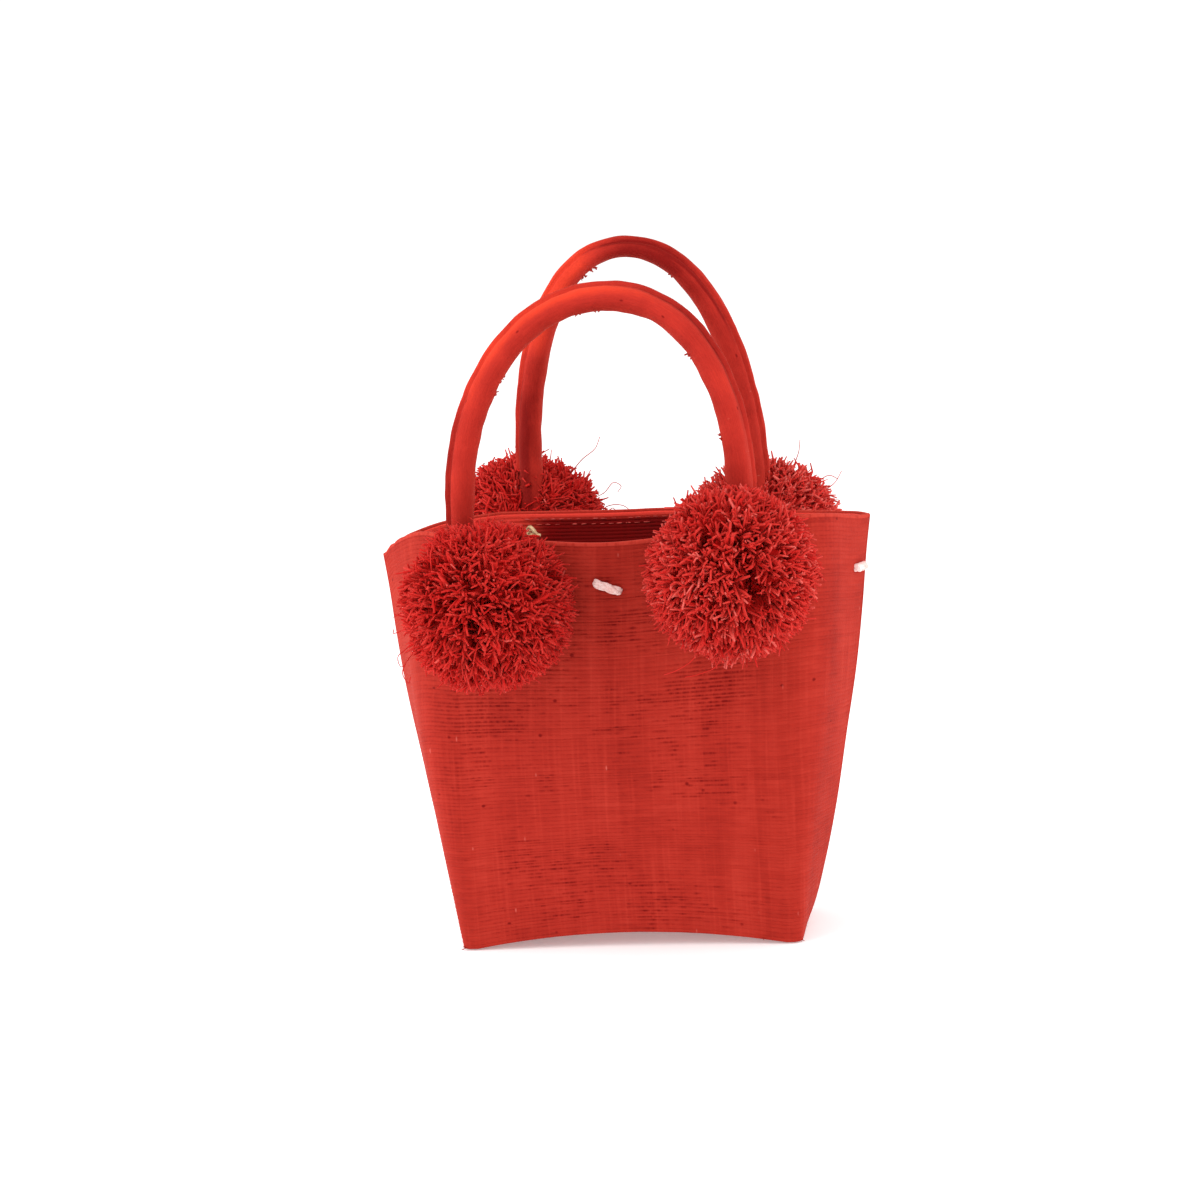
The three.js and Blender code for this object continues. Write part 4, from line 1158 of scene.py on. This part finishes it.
cord_material, tree, surface = new_material("white cord", 0.8, 0.3, srgb(255, 235, 230), 0.5)
where = own_place(tree)
fuzz = noise(tree, where, 1400.0, 3.0, 0.6)
# Pinkish patches on the white cord
pinkish_mottle = noise(tree, where, 160.0)
tint = blended(tree, spread(tree, pinkish_mottle, 0.35, 0.7), srgb(252, 236, 232), srgb(240, 196, 188))
tint = blended(tree, spread(tree, fuzz, 0.3, 0.6), srgb(226, 176, 168), tint)
tree.links.new(tint, surface.inputs["Base Color"])
bumped(tree, surface, fuzz, 0.4, 0.0003)


def tube(path, radius, sides=10):
    """A closed tube along a path, with a radius for each point."""
    ahead = unit(np.gradient(path, axis=0))
    up = np.array([0.0, 0.0, 1.0]) if abs(ahead[0][2]) < 0.9 else np.array([0.0, 1.0, 0.0])
    side = unit(np.cross(ahead, up))
    over = np.cross(side, ahead)
    angles = np.linspace(0, 2 * np.pi, sides, endpoint=False)
    cosines, sines = np.cos(angles)[None, :, None], np.sin(angles)[None, :, None]
    ring = side[:, None, :] * cosines + over[:, None, :] * sines
    points = path[:, None, :] + ring * radius[:, None, None]
    return points.reshape(-1, 3), [face[::-1] for face in closed_faces(len(path), sides)]


TACK_PLIES = 3


def tack(name, stands_for, out, tilt, half=6.6, sink=0.2, lower=0.0):
    """out is the way that it faces, tilt its angle in degrees and half half its length. It sits
    deeper in the cloth than its solid by sink, and lower by lower."""
    low, high = (np.array(corner) * 1000 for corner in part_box(stands_for))
    out, up = unit(np.array(out, float)), np.array([0.0, 0.0, 1.0])
    middle = (low + high) / 2 - out * sink - up * lower
    along = np.cross(up, out) * math.cos(math.radians(tilt)) + up * math.sin(math.radians(tilt))
    over = np.cross(out, along)
    t = np.linspace(-1, 1, 40)
    points, faces = [], []
    for ply in range(TACK_PLIES):
        twist = ply * 2 * np.pi / TACK_PLIES + t * 2.6
        dive = 2.6 * np.clip((np.abs(t) - 0.72) / 0.28, 0, 1) ** 2
        path = middle + along * (t * half)[:, None]
        path = path + over * (0.9 * np.cos(twist))[:, None] + out * (0.75 * np.sin(twist) - dive)[:, None]
        radius = 1.3 * (1 - 0.55 * np.clip((np.abs(t) - 0.8) / 0.2, 0, 1) ** 2)
        more, more_faces = tube(path, radius)
        faces += [[i + len(points) * len(more) for i in f] for f in more_faces]
        points.append(more)
    add_piece(name, np.concatenate(points), faces, cord_material, [stands_for])


tack("front_tack", "tack_front", (0, -1, 0), -22)
tack("back_tack", "tack_back", (0, 1, 0), -22)
tack("left_tack", "tack_left", (-0.91, 0.41, 0), 0, 5.2, 0.4)
tack("right_tack", "tack_right", (0.91, -0.41, 0), 0, 4.4, 1.2, 1.5)


# Knot
# A tie of undyed raffia inside the mouth, which holds the left leg of the back handle and its
# pompom to the cloth. Its two cut ends lie along the hem.

knot_material, tree, surface = new_material("natural raffia", 0.55, 0.2, srgb(255, 235, 205), 0.4)
along_fibres = {"Vector": own_place(tree), "Scale": (300.0, 1600.0, 2400.0)}
where = node(tree, "ShaderNodeMapping", along_fibres).outputs[0]
streak = noise(tree, where, 1.0, 3.0, 0.6)
tint = blended(tree, spread(tree, streak, 0.3, 0.7), srgb(222, 164, 110), srgb(252, 228, 182))
tree.links.new(tint, surface.inputs["Base Color"])
bumped(tree, surface, streak, 0.4, 0.0003)

KNOT_STEPS, KNOT_WIDTH = 26, 2.3
lying_end = [(-9, -2.4, -1), (-5.5, -1.8, -1), (-2, -1.5, -0.8), (1.5, -1.5, -1.2)]
lying_end += [(4.5, -1.2, -1.6), (6.5, -0.9, -1.9)]
raised_end = [(-1.5, -1.2, -0.8), (-0.8, -1.6, 1), (0.6, -1.8, 2.8), (2, -1.8, 2.2)]
raised_end += [(3.4, -1.6, 0.2), (4.8, -1.3, -1.6)]
tie = [(0.2, 0.8, -2), (0, -1.9, -1.6), (0.2, -2.4, -0.4), (0.4, -1, 0.6), (0.6, 0.8, 0.8)]


def raffia_knot():
    low, high = (np.array(corner) * 1000 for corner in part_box("knot_back_left"))
    middle = (low + high) / 2 + [-2.4, 0, 0.7]
    random = np.random.default_rng(61)
    width = KNOT_WIDTH * (1 - 0.35 * np.abs(np.linspace(-1, 1, KNOT_STEPS)[None]) ** 4)
    points, faces = np.zeros((0, 3)), []
    for line in (lying_end, raised_end, tie):
        path = (smooth_line(line, KNOT_STEPS) + middle)[None]
        more, more_faces = strand_mesh(path, width, width * 0.35, random, len(points))
        points = np.concatenate([points, more])
        faces += more_faces
    add_piece("raffia_knot", points, faces, knot_material, ["knot_back_left"])


raffia_knot()


# Studio
# A plain white floor in soft, even light, a little stronger from above and from the left, and the
# camera at the photograph's place.

white = (1, 1, 1, 1)
floor_mesh = bpy.data.meshes.new("floor")
corners = [(-6, -6, -0.0003), (6, -6, -0.0003), (6, 6, -0.0003), (-6, 6, -0.0003)]
floor_mesh.from_pydata(corners, [], [(0, 1, 2, 3)])
floor = bpy.data.objects.new("floor", floor_mesh)
bpy.context.scene.collection.objects.link(floor)
floor_material, tree, surface = new_material("pale floor", 0.9, 0.0, white)
surface.inputs["Base Color"].default_value = (0.94, 0.94, 0.94, 1)
surface.inputs["Emission Color"].default_value = white
surface.inputs["Emission Strength"].default_value = 0.24
floor_mesh.materials.append(floor_material)

world = bpy.data.worlds.new("studio")
bpy.context.scene.world = world
world.use_nodes = True
tree = world.node_tree
tree.nodes.clear()
background = node(tree, "ShaderNodeBackground", {"Color": white, "Strength": 1.1})
node(tree, "ShaderNodeOutputWorld", {"Surface": background.outputs[0]})


def soft_light(name, place_of, size, power):
    light = bpy.data.lights.new(name, "AREA")
    light.shape = "DISK"
    light.size = size
    light.energy = power
    made = bpy.data.objects.new(name, light)
    made.location = place_of
    made.rotation_mode = "QUATERNION"
    aim = Vector((0, 0, 0.16)) - made.location
    made.rotation_quaternion = aim.to_track_quat("-Z", "Y")
    bpy.context.scene.collection.objects.link(made)


soft_light("key light", (-0.75, -0.75, 1.35), 0.8, 5.0)
soft_light("left light", (-1.3, -0.25, 0.5), 0.9, 7.2)
soft_light("right light", (1.3, -0.25, 0.5), 0.9, 6.5)

camera_data = bpy.data.cameras.new("camera")
camera_data.lens = 69.03
camera_data.sensor_width = 36
camera_data.clip_start, camera_data.clip_end = 0.05, 40
camera = bpy.data.objects.new("camera", camera_data)
azimuth, elevation, roll = math.radians(10), math.radians(10), math.radians(-4.5)
right = Vector((math.cos(azimuth), math.sin(azimuth), 0))
level_back = Vector((math.sin(azimuth), -math.cos(azimuth), 0))
back = level_back * math.cos(elevation) + Vector((0, 0, math.sin(elevation)))
up = back.cross(right)
rolled_right = right * math.cos(roll) + up * math.sin(roll)
rolled_up = up * math.cos(roll) - right * math.sin(roll)
place_at = Vector(((BODY_MIDDLE + [-6.5, 0, 167.1]) * 0.001).tolist()) + back * 1.12
turned = Matrix((rolled_right, rolled_up, back)).transposed().to_4x4()
camera.matrix_world = Matrix.Translation(place_at) @ turned
bpy.context.scene.collection.objects.link(camera)
bpy.context.scene.camera = camera
bpy.context.scene.view_settings.view_transform = "Standard"
